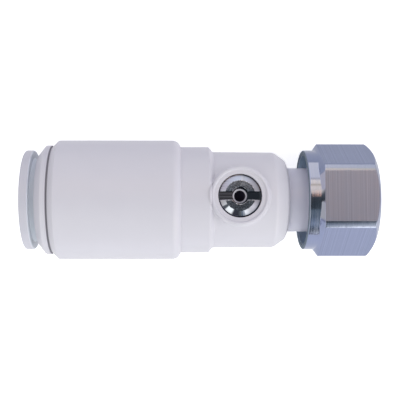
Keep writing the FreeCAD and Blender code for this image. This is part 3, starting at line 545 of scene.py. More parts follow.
def eased(corners, closed=True, fine=5):
    """Round the corners of a section and return its points as rows of (along, out).

    A corner is (along, out, round); along and out may be arrays with one value per column, and
    a round of None leaves the point alone. A round of radius e in a corner that turns by a
    leaves the sides e * tan(a / 2) from the corner. Its circle is the rational quadratic
    through both ends, weighted 1, with the corner weighted cos(a / 2). A holding row on each
    side keeps the long flats flat in the shading.
    """
    across = np.broadcast_shapes(*[np.shape(v) for c in corners for v in c[:2]], (1,))
    at = np.array([[np.broadcast_to(v, across) for v in c[:2]] for c in corners], float)
    at = np.moveaxis(at, 1, -1)
    rows = []
    count = len(corners)
    for index, corner in enumerate(corners):
        here, ease = at[index], corner[2] if len(corner) > 2 else 0.0
        if ease is None or (not closed and index in (0, count - 1)):
            rows.append(here)
            continue
        before, after = at[index - 1], at[(index + 1) % count]
        arrive, leave = unit_rows(here - before), unit_rows(after - here)
        turn = np.arccos(np.clip((arrive * leave).sum(-1), -1.0, 1.0))
        shorter = np.minimum(
            np.linalg.norm(here - before, axis=-1), np.linalg.norm(after - here, axis=-1)
        )
        room = SIDE_SHARE * shorter
        reach = np.minimum(ease * np.tan(turn / 2), room)
        hold = np.minimum(HOLD, HOLD_SHARE * (room / SIDE_SHARE - reach))[..., None]
        start = here - arrive * reach[..., None]
        end = here + leave * reach[..., None]
        rows.append(start - arrive * hold)
        if ease > 0:
            weight = np.cos(turn / 2)[..., None]
            spans = fine if ease < BROAD else 3 * fine
            for share in np.linspace(0.0, 1.0, spans + 1):
                low, high = (1 - share) ** 2, share**2
                middle = 2 * share * (1 - share) * weight
                rows.append((low * start + middle * here + high * end) / (low + middle + high))
        else:
            rows.append(here)
        rows.append(end + leave * hold)
    return np.array(rows)


def line(corners, fine=5):
    """Ease an open section that is the same in every column."""
    return eased(corners, closed=False, fine=fine)[:, 0, :]


def groove(start, end, surface, floor, edge=0.05, root=0.05):
    """Corners of a groove from start to end, with rounds at its edges and its floor."""
    return [(start, surface, edge), (start, floor, root), (end, floor, root), (end, surface, edge)]


def turned(section, angles):
    """Carry a section round the flow line: (x, r cos t, r sin t) for each angle t."""
    along, out = section[..., 0], section[..., 1]
    return stacked(along, out * np.cos(angles), out * np.sin(angles))


def quads(rows, columns, close_rows=True, close_columns=True):
    """Corner numbers of the faces between neighbouring rows and columns of a grid."""
    row = np.arange(rows if close_rows else rows - 1)
    column = np.arange(columns if close_columns else columns - 1)
    row, column = np.meshgrid(row, column, indexing="ij")
    below, beside = (row + 1) % rows, (column + 1) % columns
    here, there = row * columns, below * columns
    return np.stack([here + column, here + beside, there + beside, there + column], -1)


def patch(points, close_rows=False, close_columns=False):
    """Pair a grid of points with its faces; a closed side joins its last line to its first."""
    return points, quads(*points.shape[:2], close_rows, close_columns)


def solid(name, parts):
    """Weld grids of points, in millimetres, into one closed mesh object at the origin.

    Each part is (points, faces): points as any array of threes, faces as rows of four numbers.
    Flat walls that no grid covers are closed with one face each.
    """
    points, faces, start = [], [], 0
    for part_points, part_faces in parts:
        flat = np.asarray(part_points, float).reshape(-1, 3)
        points.append(flat)
        faces.append(np.asarray(part_faces).reshape(-1, 4) + start)
        start += len(flat)
    points, faces = np.concatenate(points) * MM, np.concatenate(faces)
    mesh = bpy.data.meshes.new(name)
    mesh.vertices.add(len(points))
    mesh.vertices.foreach_set("co", points.astype(np.float32).ravel())
    mesh.loops.add(faces.size)
    mesh.loops.foreach_set("vertex_index", faces.astype(np.int32).ravel())
    mesh.polygons.add(len(faces))
    mesh.polygons.foreach_set("loop_start", np.arange(0, faces.size, 4, dtype=np.int32))
    mesh.update(calc_edges=True)
    build = bmesh.new()
    build.from_mesh(mesh)
    bmesh.ops.remove_doubles(build, verts=build.verts, dist=WELD)
    bmesh.ops.dissolve_degenerate(build, edges=build.edges, dist=WELD)
    border = [edge for edge in build.edges if edge.is_boundary]
    bmesh.ops.holes_fill(build, edges=border, sides=0)
    loose = [vertex for vertex in build.verts if not vertex.link_faces]
    bmesh.ops.delete(build, geom=loose, context="VERTS")
    bmesh.ops.recalc_face_normals(build, faces=build.faces)
    build.to_mesh(mesh)
    build.free()
    mesh.validate()
    mesh.shade_smooth()
    mesh.set_sharp_from_angle(angle=SHARP)
    piece = bpy.data.objects.new(name, mesh)
    bpy.context.scene.collection.objects.link(piece)
    return piece


def ring(name, corners):
    """Make a ring of revolution round the flow line from its closed section."""
    return solid(name, [patch(turned(eased(corners), ANGLES), True, True)])


class Sizes:
    """The values of one property group, with its lengths in millimetres."""

    def __init__(self, group):
        for key in group.__annotations__:
            value = getattr(group, key)
            length = group.bl_rna.properties[key].unit == "LENGTH"
            setattr(self, key, value / MM if length else value)


def window(row_low, row_high, middle, span):
    """Vertex numbers round a rectangle of a grid, from the middle of its low-row side.

    The walk goes to the low column, along to the high row, across, back, and home.
    """
    low, high = middle - span, middle + span
    step = 1 if row_high > row_low else -1
    walk = np.concatenate([
        stacked(row_low, np.arange(middle, low, -1)),
        stacked(np.arange(row_low, row_high, step), low),
        stacked(row_high, np.arange(low, high)),
        stacked(np.arange(row_high, row_low, -step), high),
        stacked(row_low, np.arange(high, middle, -1)),
    ])
    return walk[:, 0] * COLUMNS + walk[:, 1] % COLUMNS


def body_outside(s):
    """Section of the body's outside, from the socket's mouth to the tail.

    The barrel's end is an arc that starts level and has a radius of
    (length^2 + drop^2) / (2 * drop).
    """
    end_radius = s.housing - s.housing_draft
    drop = s.barrel - s.step
    bend = (s.barrel_round**2 + drop**2) / (2 * drop)
    start = s.barrel_end - s.barrel_round
    sweep = np.linspace(0.0, math.asin(s.barrel_round / bend), 10)
    return line([
        (-s.mouth, s.counterbore, 0.15),
        (-s.mouth, s.barrel - s.lead, 0.12),
        (-s.mouth + s.lead, s.barrel, 2 * s.ease),
        (start, s.barrel, 0.0),
        *[
            (start + bend * math.sin(a), s.barrel - bend * (1 - math.cos(a)), None)
            for a in sweep[1:-1]
        ],
        (s.barrel_end, s.step, 0.15),
        (s.step_end, s.step, s.ease),
        (s.step_end + s.step_slope, s.housing, 1.5 * s.ease),
        (s.housing_end - s.shoulder_nose - s.shoulder, end_radius, s.shoulder_ease),
        (s.housing_end - s.shoulder_nose, end_radius - s.shoulder_drop, 0.5),
        (s.housing_end, s.chamber + s.shoulder_rim, 0.1),
        (s.housing_end, s.chamber, 0.05),
        (s.barb_end + 0.4, s.chamber),
    ], fine=6)


def body_bores(s, opening_low, opening_high):
    """Sections of the bores on the tail's and the socket's side of the opening for the stem.

    Each starts and ends a little way into a straight bore.
    """
    tail_side = line([
        (s.barb_end + 0.3, s.chamber),
        *groove(s.barb_end, s.barb_start, s.chamber, s.barb),
        (opening_high + 0.3, s.chamber),
    ], fine=2)
    socket_side = line([
        (opening_low - 0.3, s.chamber),
        (s.chamber_start, s.chamber, 0.05),
        (s.chamber_start, s.throat, 0.2),
        (0.0, s.stop_bore, 0.2),
        (0.0, s.socket, 0.05),
        (-s.pilot + s.pilot_lead, s.socket, 0.1),
        (-s.pilot, s.socket + s.pilot_lead, 0.1),
        (-s.pilot, s.seal_pocket, 0.1),
        (-s.spacer_step, s.seal_pocket, 0.1),
        (-s.spacer_step, s.counterbore, 0.1),
        *groove(-s.snap_start, -s.snap_end, s.counterbore, s.snap),
        (-s.mouth + 0.6, s.counterbore),
    ], fine=2)
    return tail_side, socket_side


def boss_skin(s, over, outer, inner):
    """Join a window in the housing to one in the chamber by rays that go over the boss.

    A ray keeps its direction from the stem's axis. On the housing its height is
    sqrt(R(x)^2 - y^2), with R read from the housing's section, and over the boss it is the
    smooth maximum of that and the boss's own section.
    """

    def polar(points):
        """Distance and direction of points from the stem's axis, seen from above."""
        across, side = points[:, 0] - s.stem_place, points[:, 1]
        return np.hypot(across, side), np.arctan2(side, across)

    far, way = polar(outer)
    far_in, way_in = polar(inner)
    way_in = way + (way_in - way + math.pi) % TURN - math.pi

    def plan(distance, direction=way):
        """Place of a ray's points seen from above."""
        return s.stem_place + distance * np.cos(direction), distance * np.sin(direction)

    def ground(x, y):
        """Height of the housing over a point of the plan."""
        radius = np.interp(x, over[:, 0], over[:, 1])
        return np.sqrt(np.maximum(radius**2 - y**2, 1.0))

    def over_ground(distance, height):
        """Keep a boss point above the housing with the smooth maximum of the two heights."""
        x, y = plan(distance)
        low = ground(x, y)
        gap = np.clip(0.5 + (height - low) / (2 * BLEND), 0.0, 1.0)
        lifted = low + (height - low) * gap + BLEND * gap * (1 - gap)
        return stacked(x, y, np.where(height > low + BLEND, height, lifted))

    rays = [outer]
    foot = s.boss + s.boss_blend
    for share in np.linspace(1.0, 0.0, 25)[1:]:
        x, y = plan(foot + (far - foot) * share)
        rays.append(stacked(x, y, ground(x, y)))
    for bend in steps(6, math.pi / 2):
        x, y = plan(foot - s.boss_blend * math.sin(bend))
        rays.append(stacked(x, y, ground(x, y) + s.boss_blend * (1 - math.cos(bend))))
    wall_foot = ground(*plan(s.boss)) + s.boss_blend
    wall_top = np.maximum(s.boss_top - s.boss_round, wall_foot + 0.01)
    for share in steps(8):
        height = wall_foot + (wall_top - wall_foot) * share
        rays.append(over_ground(s.boss - s.boss_draft * share, height))
    rim = s.boss - s.boss_draft - s.boss_round
    for bend in steps(7, math.pi / 2):
        height = s.boss_top - s.boss_round * (1 - math.sin(bend))
        rays.append(over_ground(rim + s.boss_round * math.cos(bend), height))
    top = line([
        (rim, s.boss_top),
        (s.boss_lip, s.boss_top, 0.08),
        (s.boss_floor_radius, s.boss_floor, 0.1),
        (s.stem_bore, s.boss_floor, 0.12),
        (s.stem_bore, s.stem_roof, 0.03),
        (s.stem_pocket, s.stem_roof, 0.05),
        (s.stem_pocket, s.stop_roof + 0.02),
    ], fine=4)
    rays += [over_ground(distance, height) for distance, height in top[1:]]
    pocket = np.where(near(way, s.stop_middle, s.stop_sweep), s.stop_recess, s.stem_pocket)
    x, y = plan(pocket)
    saddle = np.sqrt(s.chamber**2 - y**2)
    for share in np.linspace(0.0, 1.0, 5):
        rays.append(stacked(x, y, s.stop_roof + (saddle - s.stop_roof) * share))
    for share in steps(8)[:-1]:
        x, y = plan(pocket + (far_in - pocket) * share, way + (way_in - way) * share)
        rays.append(stacked(x, y, np.sqrt(np.maximum(s.chamber**2 - y**2, 0.01))))
    rays.append(inner)
    return np.array(rays)


def make_body_shell(sizes):
    """Model the body as one closed skin.

    The section is carried round the flow line. A window is left out of the outer rows and one
    out of the chamber's rows, and a skin of rays joins the two windows: it walks over the
    housing to the boss, up its wall, over its lip, down the stem bore and out to the chamber.
    The outer window reaches from left, on the step, to right, past the boss. Its rows are the
    section's own points and even ones between them. The inner window has fewer rows and more
    columns, and as many points round it.
    """
    s = Sizes(sizes)
    outside = body_outside(s)
    along = outside[:, 0]
    left, right = s.step_end - WINDOW_START, s.stem_place + s.boss + WINDOW_END
    before, after = outside[along <= left], outside[along >= right]
    inside = along[(along > left) & (along < right)]
    spaced = np.linspace(left, right, 61)
    spaced = spaced[np.abs(spaced[:, None] - inside).min(1) > ROW_CLEAR]
    places = np.sort(np.concatenate([inside, spaced, [left, right]]))
    places = places[np.concatenate([[True], np.diff(places) > ROW_LEAST])]
    about = outside[(along > left - 1.0) & (along < right + 0.25)]
    over = stacked(places, np.interp(places, about[:, 0], about[:, 1]))

    span_out, span_in = 32, 48
    inner_count = len(over) - 1 - 2 * (span_in - span_out)
    opening_low, opening_high = s.stem_place - OPENING, s.stem_place + OPENING
    opening = stacked(np.linspace(opening_high, opening_low, inner_count + 1), s.chamber)
    tail_side, socket_side = body_bores(s, opening_low, opening_high)
    section = np.concatenate([before, over, after, tail_side, opening, socket_side])
    outer_low, outer_high = len(before), len(before) + len(over) - 1
    inner_high = len(before) + len(over) + len(after) + len(tail_side)
    inner_low = inner_high + inner_count

    grid = turned(section[:, None, :], ANGLES)
    top = COLUMNS // 4
    row, column = np.ogrid[:len(section), :COLUMNS]
    from_top = np.abs(column - top + 0.5)
    hole = (row >= outer_low) & (row < outer_high) & (from_top < span_out)
    hole |= (row >= inner_high) & (row < inner_low) & (from_top < span_in)
    flat_grid = grid.reshape(-1, 3)
    outer = flat_grid[window(outer_low, outer_high, top, span_out)]
    inner = flat_grid[window(inner_low, inner_high, top, span_in)]
    skin = boss_skin(s, over, outer, inner)
    faces = quads(len(section), COLUMNS)[~hole]
    return solid("body_shell", [(grid, faces), patch(skin, close_columns=True)])


def make_cap_ring(sizes):
    """Model the cap ring: its section is carried round the flow line."""
    s = Sizes(sizes)
    nose = s.shoulder + s.rim + s.slope
    return ring("cap_ring", [
        (-nose, s.mouth, 0.08),
        (-nose, s.nose, 0.08),
        (-s.shoulder - s.rim, s.cap, 2 * s.ease),
        (-s.shoulder, s.cap, 0.12),
        (-s.shoulder, s.spigot, 0.04),
        (-s.snap_end, s.spigot, 0.04),
        (-s.snap_end, s.snap, 0.06),
        (-s.snap_start - s.snap + s.spigot + 0.05, s.snap, 0.06),
        (-s.snap_start, s.spigot, 0.06),
        (-s.spigot_end, s.spigot, 0.12),
        (-s.spigot_end, s.cage, 0.12),
        (-s.wedge_end, s.cage, 0.15),
        (-s.wedge_start, s.mouth, 0.15),
    ])


def make_grip_collar(sizes):
    """Model the gripping collar with its fingers.

    The section is carried round the flow line on warped columns: a slot's edge lies
    asin(half width / r) from its middle, so the slots keep their width. Behind the slots' roots
    the slot columns are left out, and their side walls join outer and inner rows pair by pair.
    """
    s = Sizes(sizes)
    back = s.collar_front - s.flange
    root = back - s.neck_length
    head = s.collar_end + s.head_length
    full_outer = line([
        (-s.collar_front + 1.2, s.bore),
        (-s.collar_front + s.flange_ease, s.bore, 0.1),
        (-s.collar_front, s.bore + s.flange_ease, 0.1),
        (-s.collar_front, s.flange_radius - s.flange_ease, 0.08),
        (-s.collar_front + s.flange_ease, s.flange_radius, 0.08),
        (-back - s.flange_ease, s.flange_radius, 0.08),
        (-back, s.flange_radius - s.flange_ease, 0.08),
        (-back, s.neck, 0.25),
        (-root, s.neck),
    ])
    finger_outer = line([
        (-root, s.neck),
        (-root + s.neck_taper, s.finger, 0.3),
        (-head - s.ramp, s.finger, 0.3),
        (-head, s.head, 0.2),
        (-s.collar_end, s.head, 0.25),
        (-s.collar_end, s.bore + 0.9),
    ])
    count = len(finger_outer)
    finger_inner = stacked(np.linspace(-s.collar_end, -root, count), s.bore)
    section = np.concatenate([full_outer[:-1], finger_outer, finger_inner])
    first, last = len(full_outer) - 1, len(section) - 1
    finger_columns, slot_columns = 22, 6
    period = finger_columns + slot_columns
    step = TURN / s.fingers
    edge = np.arcsin(0.5 * s.finger_slot / section[:, 1])
    on_finger = np.linspace(-1, 1, finger_columns + 1)[:-1]
    on_slot = np.linspace(-1, 1, slot_columns + 1)[:-1]
    columns = []
    for finger in range(s.fingers):
        middle = (finger + 0.5) * step
        columns += [middle + share * (step / 2 - edge) for share in on_finger]
        columns += [(finger + 1) * step + share * edge for share in on_slot]
    grid = turned(section[:, None, :], np.stack(columns, -1))
    rows, total = grid.shape[:2]
    row, column = np.ogrid[:rows, :total]
    in_slot = (column % period >= finger_columns) & (row >= first) & (row < last)
    parts = [(grid, quads(rows, total)[~in_slot])]
    for finger in range(s.fingers):
        for side in (finger_columns, period):
            at = (finger * period + side) % total
            outer = grid[first:first + count, at]
            inner = grid[first + count:first + 2 * count, at][::-1]
            parts.append(patch(np.stack([outer, inner])))
        spots = (finger * period + finger_columns + np.arange(slot_columns + 1)) % total
        parts.append(patch(np.stack([grid[first, spots], grid[last, spots]])))
    return solid("grip_collar_shell", parts)


def make_stem_shell(sizes):
    """Model the slotted stem as one skin of patches that share their edges.

    Over the slot's floor the head is two lands. On a land the columns at radius r run between
    the directions asin(half slot / r) and half a turn less, so that they end on the slot's
    walls, which are one flat face each. The columns next to a wall sink by a quarter circle.
    Under the floor the columns go right round.
    """
    s = Sizes(sizes)
    half = s.slot / 2
    bend = np.linspace(0.0, math.pi / 2, 6)
    from_wall = s.slot_round * (1 - np.cos(bend))
    drop = s.slot_round * (1 - np.sin(bend))
    over_land = np.linspace(0.0, 1.0, 73)[1:-1]
    over_slot = np.linspace(-1.0, 1.0, 19)

    def at(radius, direction, height):
        """Point of the stem from its radius, direction and height."""
        return stacked(s.place + radius * np.cos(direction), radius * np.sin(direction), height)

    def slot_directions(radius):
        """Directions of the columns across the slot, from wall to wall."""
        return np.arcsin(half / np.asarray(radius))[..., None] * over_slot

    def land_directions(radius):
        """Directions of a land's columns: close together on the slot's edges, then even."""
        first = np.arcsin((half + from_wall) / np.asarray(radius)[..., None])
        inside = first[..., -1:]
        even = inside + (math.pi - 2 * inside) * over_land
        return np.concatenate([first, even, math.pi - first[..., ::-1]], -1)

    def round_columns(radius):
        """Directions of all columns, matched to lands and slots at a radius."""
        sweep, land = slot_directions(radius)[:-1], land_directions(radius)[:-1]
        return np.concatenate([sweep, land, sweep + math.pi, land + math.pi])

    head = line([
        (s.slot_floor, s.pit),
        (s.crown, s.pit, s.ease),
        (s.crown - s.crown_drop, s.crown_radius, s.ease),
        (s.rim_height, s.rim, s.ease),
        (s.land, s.rim, 0.05),
        (s.land, s.radius, s.ease),
        (s.slot_floor, s.radius),
    ], fine=4)
    height, radius = head[:, :1], head[:, 1]
    lowered = np.concatenate([drop, np.zeros(len(over_land)), drop[::-1]])
    fall = np.clip((height - s.slot_floor) / ROUND_FADE, 0.0, 1.0) * lowered
    outward = np.unique(np.round(radius, 9))
    parts = []
    for flip in (0.0, math.pi):
        parts.append(patch(at(radius[:, None], land_directions(radius) + flip, height - fall)))
        strip = at(outward[:, None], slot_directions(outward) + flip, s.slot_floor)
        parts.append(patch(strip))

    hole = line([
        (s.slot_floor, s.pit),
        (s.slot_floor, s.hole + s.hole_lead, 0.05),
        (s.slot_floor - s.hole_lead, s.hole, 0.08),
        (s.hole_floor, s.hole, 0.1),
        (s.hole_floor - DRILL_TIP, 0.0),
    ], fine=4)
    parts.append(patch(at(hole[:, 1:], round_columns(s.pit), hole[:, :1]), close_columns=True))

    way = round_columns(s.radius)
    lower = line([
        (s.slot_floor, s.radius),
        *groove(s.seal_end, s.seal_start, s.radius, s.seal, 0.04, 0.1),
        (s.collar_top, s.radius),
    ], fine=3)
    collar = np.where(near(way, s.lug_middle, s.lug_sweep), s.lug, s.collar)
    tang = np.minimum(
        s.tang / 2 / np.maximum(np.abs(np.cos(way)), 1e-6),
        s.tang_width / np.maximum(np.abs(np.sin(way)), 1e-6),
    )
    rows = [at(out, way, up) for up, out in lower]
    rows += [at(out, way, up) for out, up in (
        (collar, s.collar_top),
        (collar, s.collar_floor),
        (tang, s.collar_floor),
        (tang, s.tang_end),
        (0.0 * tang, s.tang_end),
    )]
    parts.append(patch(np.array(rows), close_columns=True))
    return solid("stem_shell", parts)


def make_tail_tube(sizes):
    """Model the tail: its section is carried round the flow line."""
    s = Sizes(sizes)
    return ring("tail_tube", [
        (s.start, s.bore, 0.2),
        (s.start, s.radius, 0.25),
        *groove(s.seal_start, s.seal_end, s.radius, s.seal, 0.06, 0.1),
        (s.barb_start, s.radius, 0.1),
        (s.barb_end, s.barb, 0.05),
        (s.barb_end, s.radius, 0.08),
        (s.flange_start, s.radius, s.ease),
        (s.flange_start, s.flange, s.ease),
        (s.flange_end, s.flange, s.ease),
        (s.flange_end, s.bore, s.ease),
    ])


def make_tap_washer(sizes):
    """Model the sealing washer with soft edges, carried round the flow line."""
    s = Sizes(sizes)
    return ring("tap_washer", [
        (s.flange_end, s.washer_bore, 0.15),
        (s.flange_end, s.washer, 0.15),
        (s.washer_end, s.washer, 0.3),
        (s.washer_end, s.washer_bore, 0.3),
    ])


def hexagon_columns(flat, corner):
    """Directions and radii of a hexagon with rounded corners, flats facing up and down.

    On a flat the radius is flat / cos(a) for the direction a from its middle. Round a corner
    the points lie on a circle whose centre is (flat - corner) / cos(30 degrees) out.
    """
    per_flat, per_corner = 26, 24
    half = math.atan((flat - corner) * math.tan(math.pi / 6) / flat)
    centre = (flat - corner) / math.cos(math.pi / 6)
    sweep = np.linspace(-half, half, per_flat + 1)[:-1]
    bend = np.linspace(-math.pi / 6, math.pi / 6, per_corner + 1)[:-1]
    across, up = centre + corner * np.cos(bend), corner * np.sin(bend)
    directions, radii = [], []
    for side in range(6):
        middle = math.pi / 2 + side * math.pi / 3
        directions += [middle + sweep, middle + math.pi / 6 + np.arctan2(up, across)]
        radii += [flat / np.cos(sweep), np.hypot(across, up)]
    return np.concatenate(directions), np.concatenate(radii)


def make_hexagon_nut(sizes):
    """Model the hexagon nut with its tap thread.

    The section differs from column to column. A slope leads from the collar up to the hexagon,
    and ends on one plane, so that the flats begin on straight lines. Its foot lags on the flats,
    most at their middles. At the face a column of radius h meets the end slope where the
    slope's cone reaches h, so that the curved edges lie on rows of the mesh. In the bore the
    radius is the minor radius plus the thread's depth times a rounded triangle wave of
    x / pitch - angle / turn.
    """
    s = Sizes(sizes)
    directions, out = hexagon_columns(s.flat, s.corner)
    border = math.hypot(s.flat, (s.flat - s.corner) * math.tan(math.pi / 6))
    foot = s.hexagon + np.clip((border - out) / (border - s.flat), 0.0, 1.0) * s.foot
    fall = (s.slope_radius - s.end_radius) / s.end_slope
    shell = eased([
        (s.back + 0.5, s.recess),
        (s.back + 0.2, s.recess, 0.1),
        (s.back, s.recess + 0.2, 0.1),
        (s.back, s.collar - 0.25, 0.12),
        (s.back + 0.25, s.collar, 0.14),
        (foot, s.collar, 0.08),
        (s.hexagon + s.slope, out, s.ease),
        (s.reach - (out - s.end_radius) / fall, out, s.ease),
        (s.reach, s.end_radius, 0.1),
        (s.reach, s.thread, 0.1),
        (s.reach - 0.2, s.thread - 0.2),
    ], closed=False, fine=4)[1:]
    place = np.linspace(s.reach - 0.2, s.relief_end, 104)[:, None]
    wave = (place / s.pitch - directions / TURN) % 1.0
    depth = np.clip((1 - np.abs(2 * wave - 1) - RIDGE_SHARE) / FLANK_SHARE, 0.0, 1.0)
    depth = depth * depth * (3 - 2 * depth)
    threaded = s.thread_bore + (s.thread - s.thread_bore) * depth
    mouth = s.thread - (s.reach - place)
    threaded = np.clip(np.maximum(threaded, mouth), s.thread_bore, s.thread)
    hollow = eased([
        (s.relief_end, s.thread_bore),
        (s.relief_end, s.thread, 0.05),
        (s.lip_end, s.thread, 0.15),
        (s.lip_end, s.lip, 0.12),
        (s.lip_start, s.lip, 0.12),
        (s.lip_start, s.recess, 0.35),
        (s.back + 0.6, s.recess),
    ], closed=False, fine=4)[1:]
    section = np.concatenate([
        np.broadcast_to(block, (len(block), len(directions), 2))
        for block in (shell, stacked(place, threaded), hollow)
    ])
    return solid("hexagon_nut", [patch(turned(section, directions), True, True)])


def put(tree, entry, target):
    """Link a socket to an input, or set plain numbers on it."""
    if isinstance(entry, bpy.types.NodeSocket):
        tree.links.new(entry, target)
    elif target.type == "RGBA":
        target.default_value = (*tuple(entry)[:3], 1.0)
    else:
        target.default_value = entry


def add_node(tree, kind, entries, **settings):
    """Add a shader node; entries are sockets or numbers for its inputs."""
    node = tree.nodes.new("ShaderNode" + kind)
    for key, setting in settings.items():
        setattr(node, key, setting)
    for key, entry in entries.items():
        put(tree, entry, node.inputs[key])
    return node


def math_node(tree, operation, *entries, clamp=False):
    """Add a Math node; each entry is a socket or a number."""
    node = add_node(tree, "Math", dict(enumerate(entries)), operation=operation, use_clamp=clamp)
    return node.outputs[0]


def worked(tree, value, *tasks):
    """Carry a value through Math nodes; a task is an operation and its second entry."""
    for operation, entry in tasks:
        value = math_node(tree, operation, value, entry)
    return value


def vector_node(tree, operation, entries):
    """Add a Vector Math node."""
    return add_node(tree, "VectorMath", entries, operation=operation).outputs


def ranged(tree, value, low, high, out_low=0.0, out_high=1.0):
    """Map a value smoothly from one range to another, held at both ends."""
    entries = {"Value": value, "From Min": low, "From Max": high}
    entries.update({"To Min": out_low, "To Max": out_high})
    return add_node(tree, "MapRange", entries, interpolation_type="SMOOTHSTEP").outputs[0]


def between(tree, mask, none, full):
    """Go from one number to another where a mask goes from 0 to 1."""
    return ranged(tree, mask, 0.0, 1.0, none, full)


def mixed(tree, share, first, second):
    """Mix two colours, each a socket or plain numbers, by a share."""
    return add_node(tree, "Mix", {0: share, 6: first, 7: second}, data_type="RGBA").outputs[2]


def scaled(tree, vector, factor):
    """Multiply a colour or a vector by a number."""
    return vector_node(tree, "SCALE", {0: vector, "Scale": factor})[0]


def stepped(tree, value, stops):
    """Pick a colour from stops of (place, red, green, blue).

    A ramp holds colours up to 1, so they go in as shares of a whole number and are raised again.
    """
    most = math.ceil(max(max(tone) for _, *tone in stops))
    node = add_node(tree, "ValToRGB", {0: value})
    elements = node.color_ramp.elements
    elements.remove(elements[1])
    for index, (place, *tone) in enumerate(stops):
        stop = elements[0] if index == 0 else elements.new(place)
        stop.position = place
        stop.color = (*[entry / most for entry in tone], 1.0)
    return scaled(tree, node.outputs["Color"], most)


def noise(tree, vector, pattern):
    """Add a Noise Texture with a pattern of scale, detail and roughness."""
    scale, detail, roughness = pattern
    entries = {"Vector": vector, "Scale": scale, "Detail": detail, "Roughness": roughness}
    return add_node(tree, "TexNoise", entries).outputs["Fac"]


def swing(tree, grey, amount):
    """Centre a noise on zero and multiply it by an amount."""
    return worked(tree, grey, ("SUBTRACT", 0.5), ("MULTIPLY", amount))


def own_place(tree):
    """Give the place in the piece's own coordinates."""
    return tree.nodes.new("ShaderNodeTexCoord").outputs["Object"]


def split(tree, vector):
    """Split a vector into its X, Y and Z."""
    return add_node(tree, "SeparateXYZ", {0: vector}).outputs


def distance(tree, first, second):
    """Length of two numbers taken at right angles: sqrt(a^2 + b^2)."""
    squares = [math_node(tree, "MULTIPLY", part, part) for part in (first, second)]
    return math_node(tree, "SQRT", math_node(tree, "ADD", *squares))


def bumped(tree, height, strength, reach):
    """Turn a height into a normal; reach is its rise in metres."""
    entries = {"Strength": strength, "Distance": reach, "Height": height}
    return add_node(tree, "Bump", entries).outputs["Normal"]


def start_group(name, inputs, outputs):
    """Start a node group; return it, its inputs to read from and its outputs to feed."""
    group = bpy.data.node_groups.new(name, "ShaderNodeTree")
    for way, titles in (("INPUT", inputs), ("OUTPUT", outputs)):
        for title in titles:
            kind = SOCKET_KINDS.get(title, "NodeSocketFloat")
            made = group.interface.new_socket(name=title, in_out=way, socket_type=kind)
            if way == "INPUT":
                made.default_value = inputs[title]
    entry = group.nodes.new("NodeGroupInput").outputs
    return group, entry, group.nodes.new("NodeGroupOutput").inputs


def end_group(group, leave, outputs):
    """Feed a node group's outputs and return the group."""
    for title, output in outputs.items():
        put(group, output, leave[title])
    return group


def moulded_surface():
    """Group for moulded plastic: cloudy colour, a fine surface grain and its normal."""
    inputs = {"Colour": GREY, "Cloud": 0.04, "Gloss": 0.4, "Grain": 0.05}
    group, entry, leave = start_group("moulded_surface", inputs, SURFACE.values())
    place = own_place(group)
    cloud = swing(group, noise(group, place, CLOUDS), entry["Cloud"])
    shade = math_node(group, "ADD", cloud, 1.0)
    rough = swing(group, noise(group, place, PATCHES), PATCH_SHARE)
    ripple = math_node(group, "MULTIPLY", noise(group, place, RIPPLES), RIPPLE_SHARE)
    height = math_node(group, "ADD", noise(group, place, GRAIN), ripple)
    return end_group(group, leave, {
        "Colour": scaled(group, entry["Colour"], shade),
        "Roughness": math_node(group, "ADD", rough, entry["Gloss"], clamp=True),
        "Normal": bumped(group, height, entry["Grain"], GRAIN_RISE),
    })


def turned_surface():
    """Group for turned metal: tool lines that run round an axis, and their normal.

    Lines are noise of one number only: the place along the flow line, or the distance from the
    stem's axis, as the Radial input says. Cloud mottles the colour.
    """
    inputs = {"Colour": GREY, "Centre": (0.0, 0.0, 0.0), "Radial": 0.0, "Lines": 0.2}
    inputs.update({"Cloud": 0.0, "Gloss": 0.08})
    group, entry, leave = start_group("turned_surface", inputs, SURFACE.values())
    place = own_place(group)
    offset = vector_node(group, "SUBTRACT", {0: place, 1: entry["Centre"]})[0]
    x, y, _ = split(group, offset)
    radius = distance(group, x, y)
    chosen = add_node(group, "Mix", {0: entry["Radial"], 2: x, 3: radius}, data_type="FLOAT")
    single = add_node(group, "CombineXYZ", {"X": chosen.outputs[0]}).outputs[0]
    coarse = noise(group, single, TOOL_LINES)
    lines = swing(group, coarse, entry["Lines"])
    mottle = swing(group, noise(group, place, MOTTLE), entry["Cloud"])
    shade = worked(group, lines, ("MULTIPLY", LINES_SHARE), ("ADD", mottle), ("ADD", 1.0))
    drift = math_node(group, "MULTIPLY", noise(group, place, DRIFT), DRIFT_SHARE)
    deeper = math_node(group, "MULTIPLY", noise(group, single, FINE_LINES), FINE_SHARE)
    height = math_node(group, "ADD", coarse, deeper)
    return end_group(group, leave, {
        "Colour": scaled(group, entry["Colour"], shade),
        "Roughness": math_node(group, "ADD", drift, entry["Gloss"], clamp=True),
        "Normal": bumped(group, height, entry["Lines"], LINES_RISE),
    })


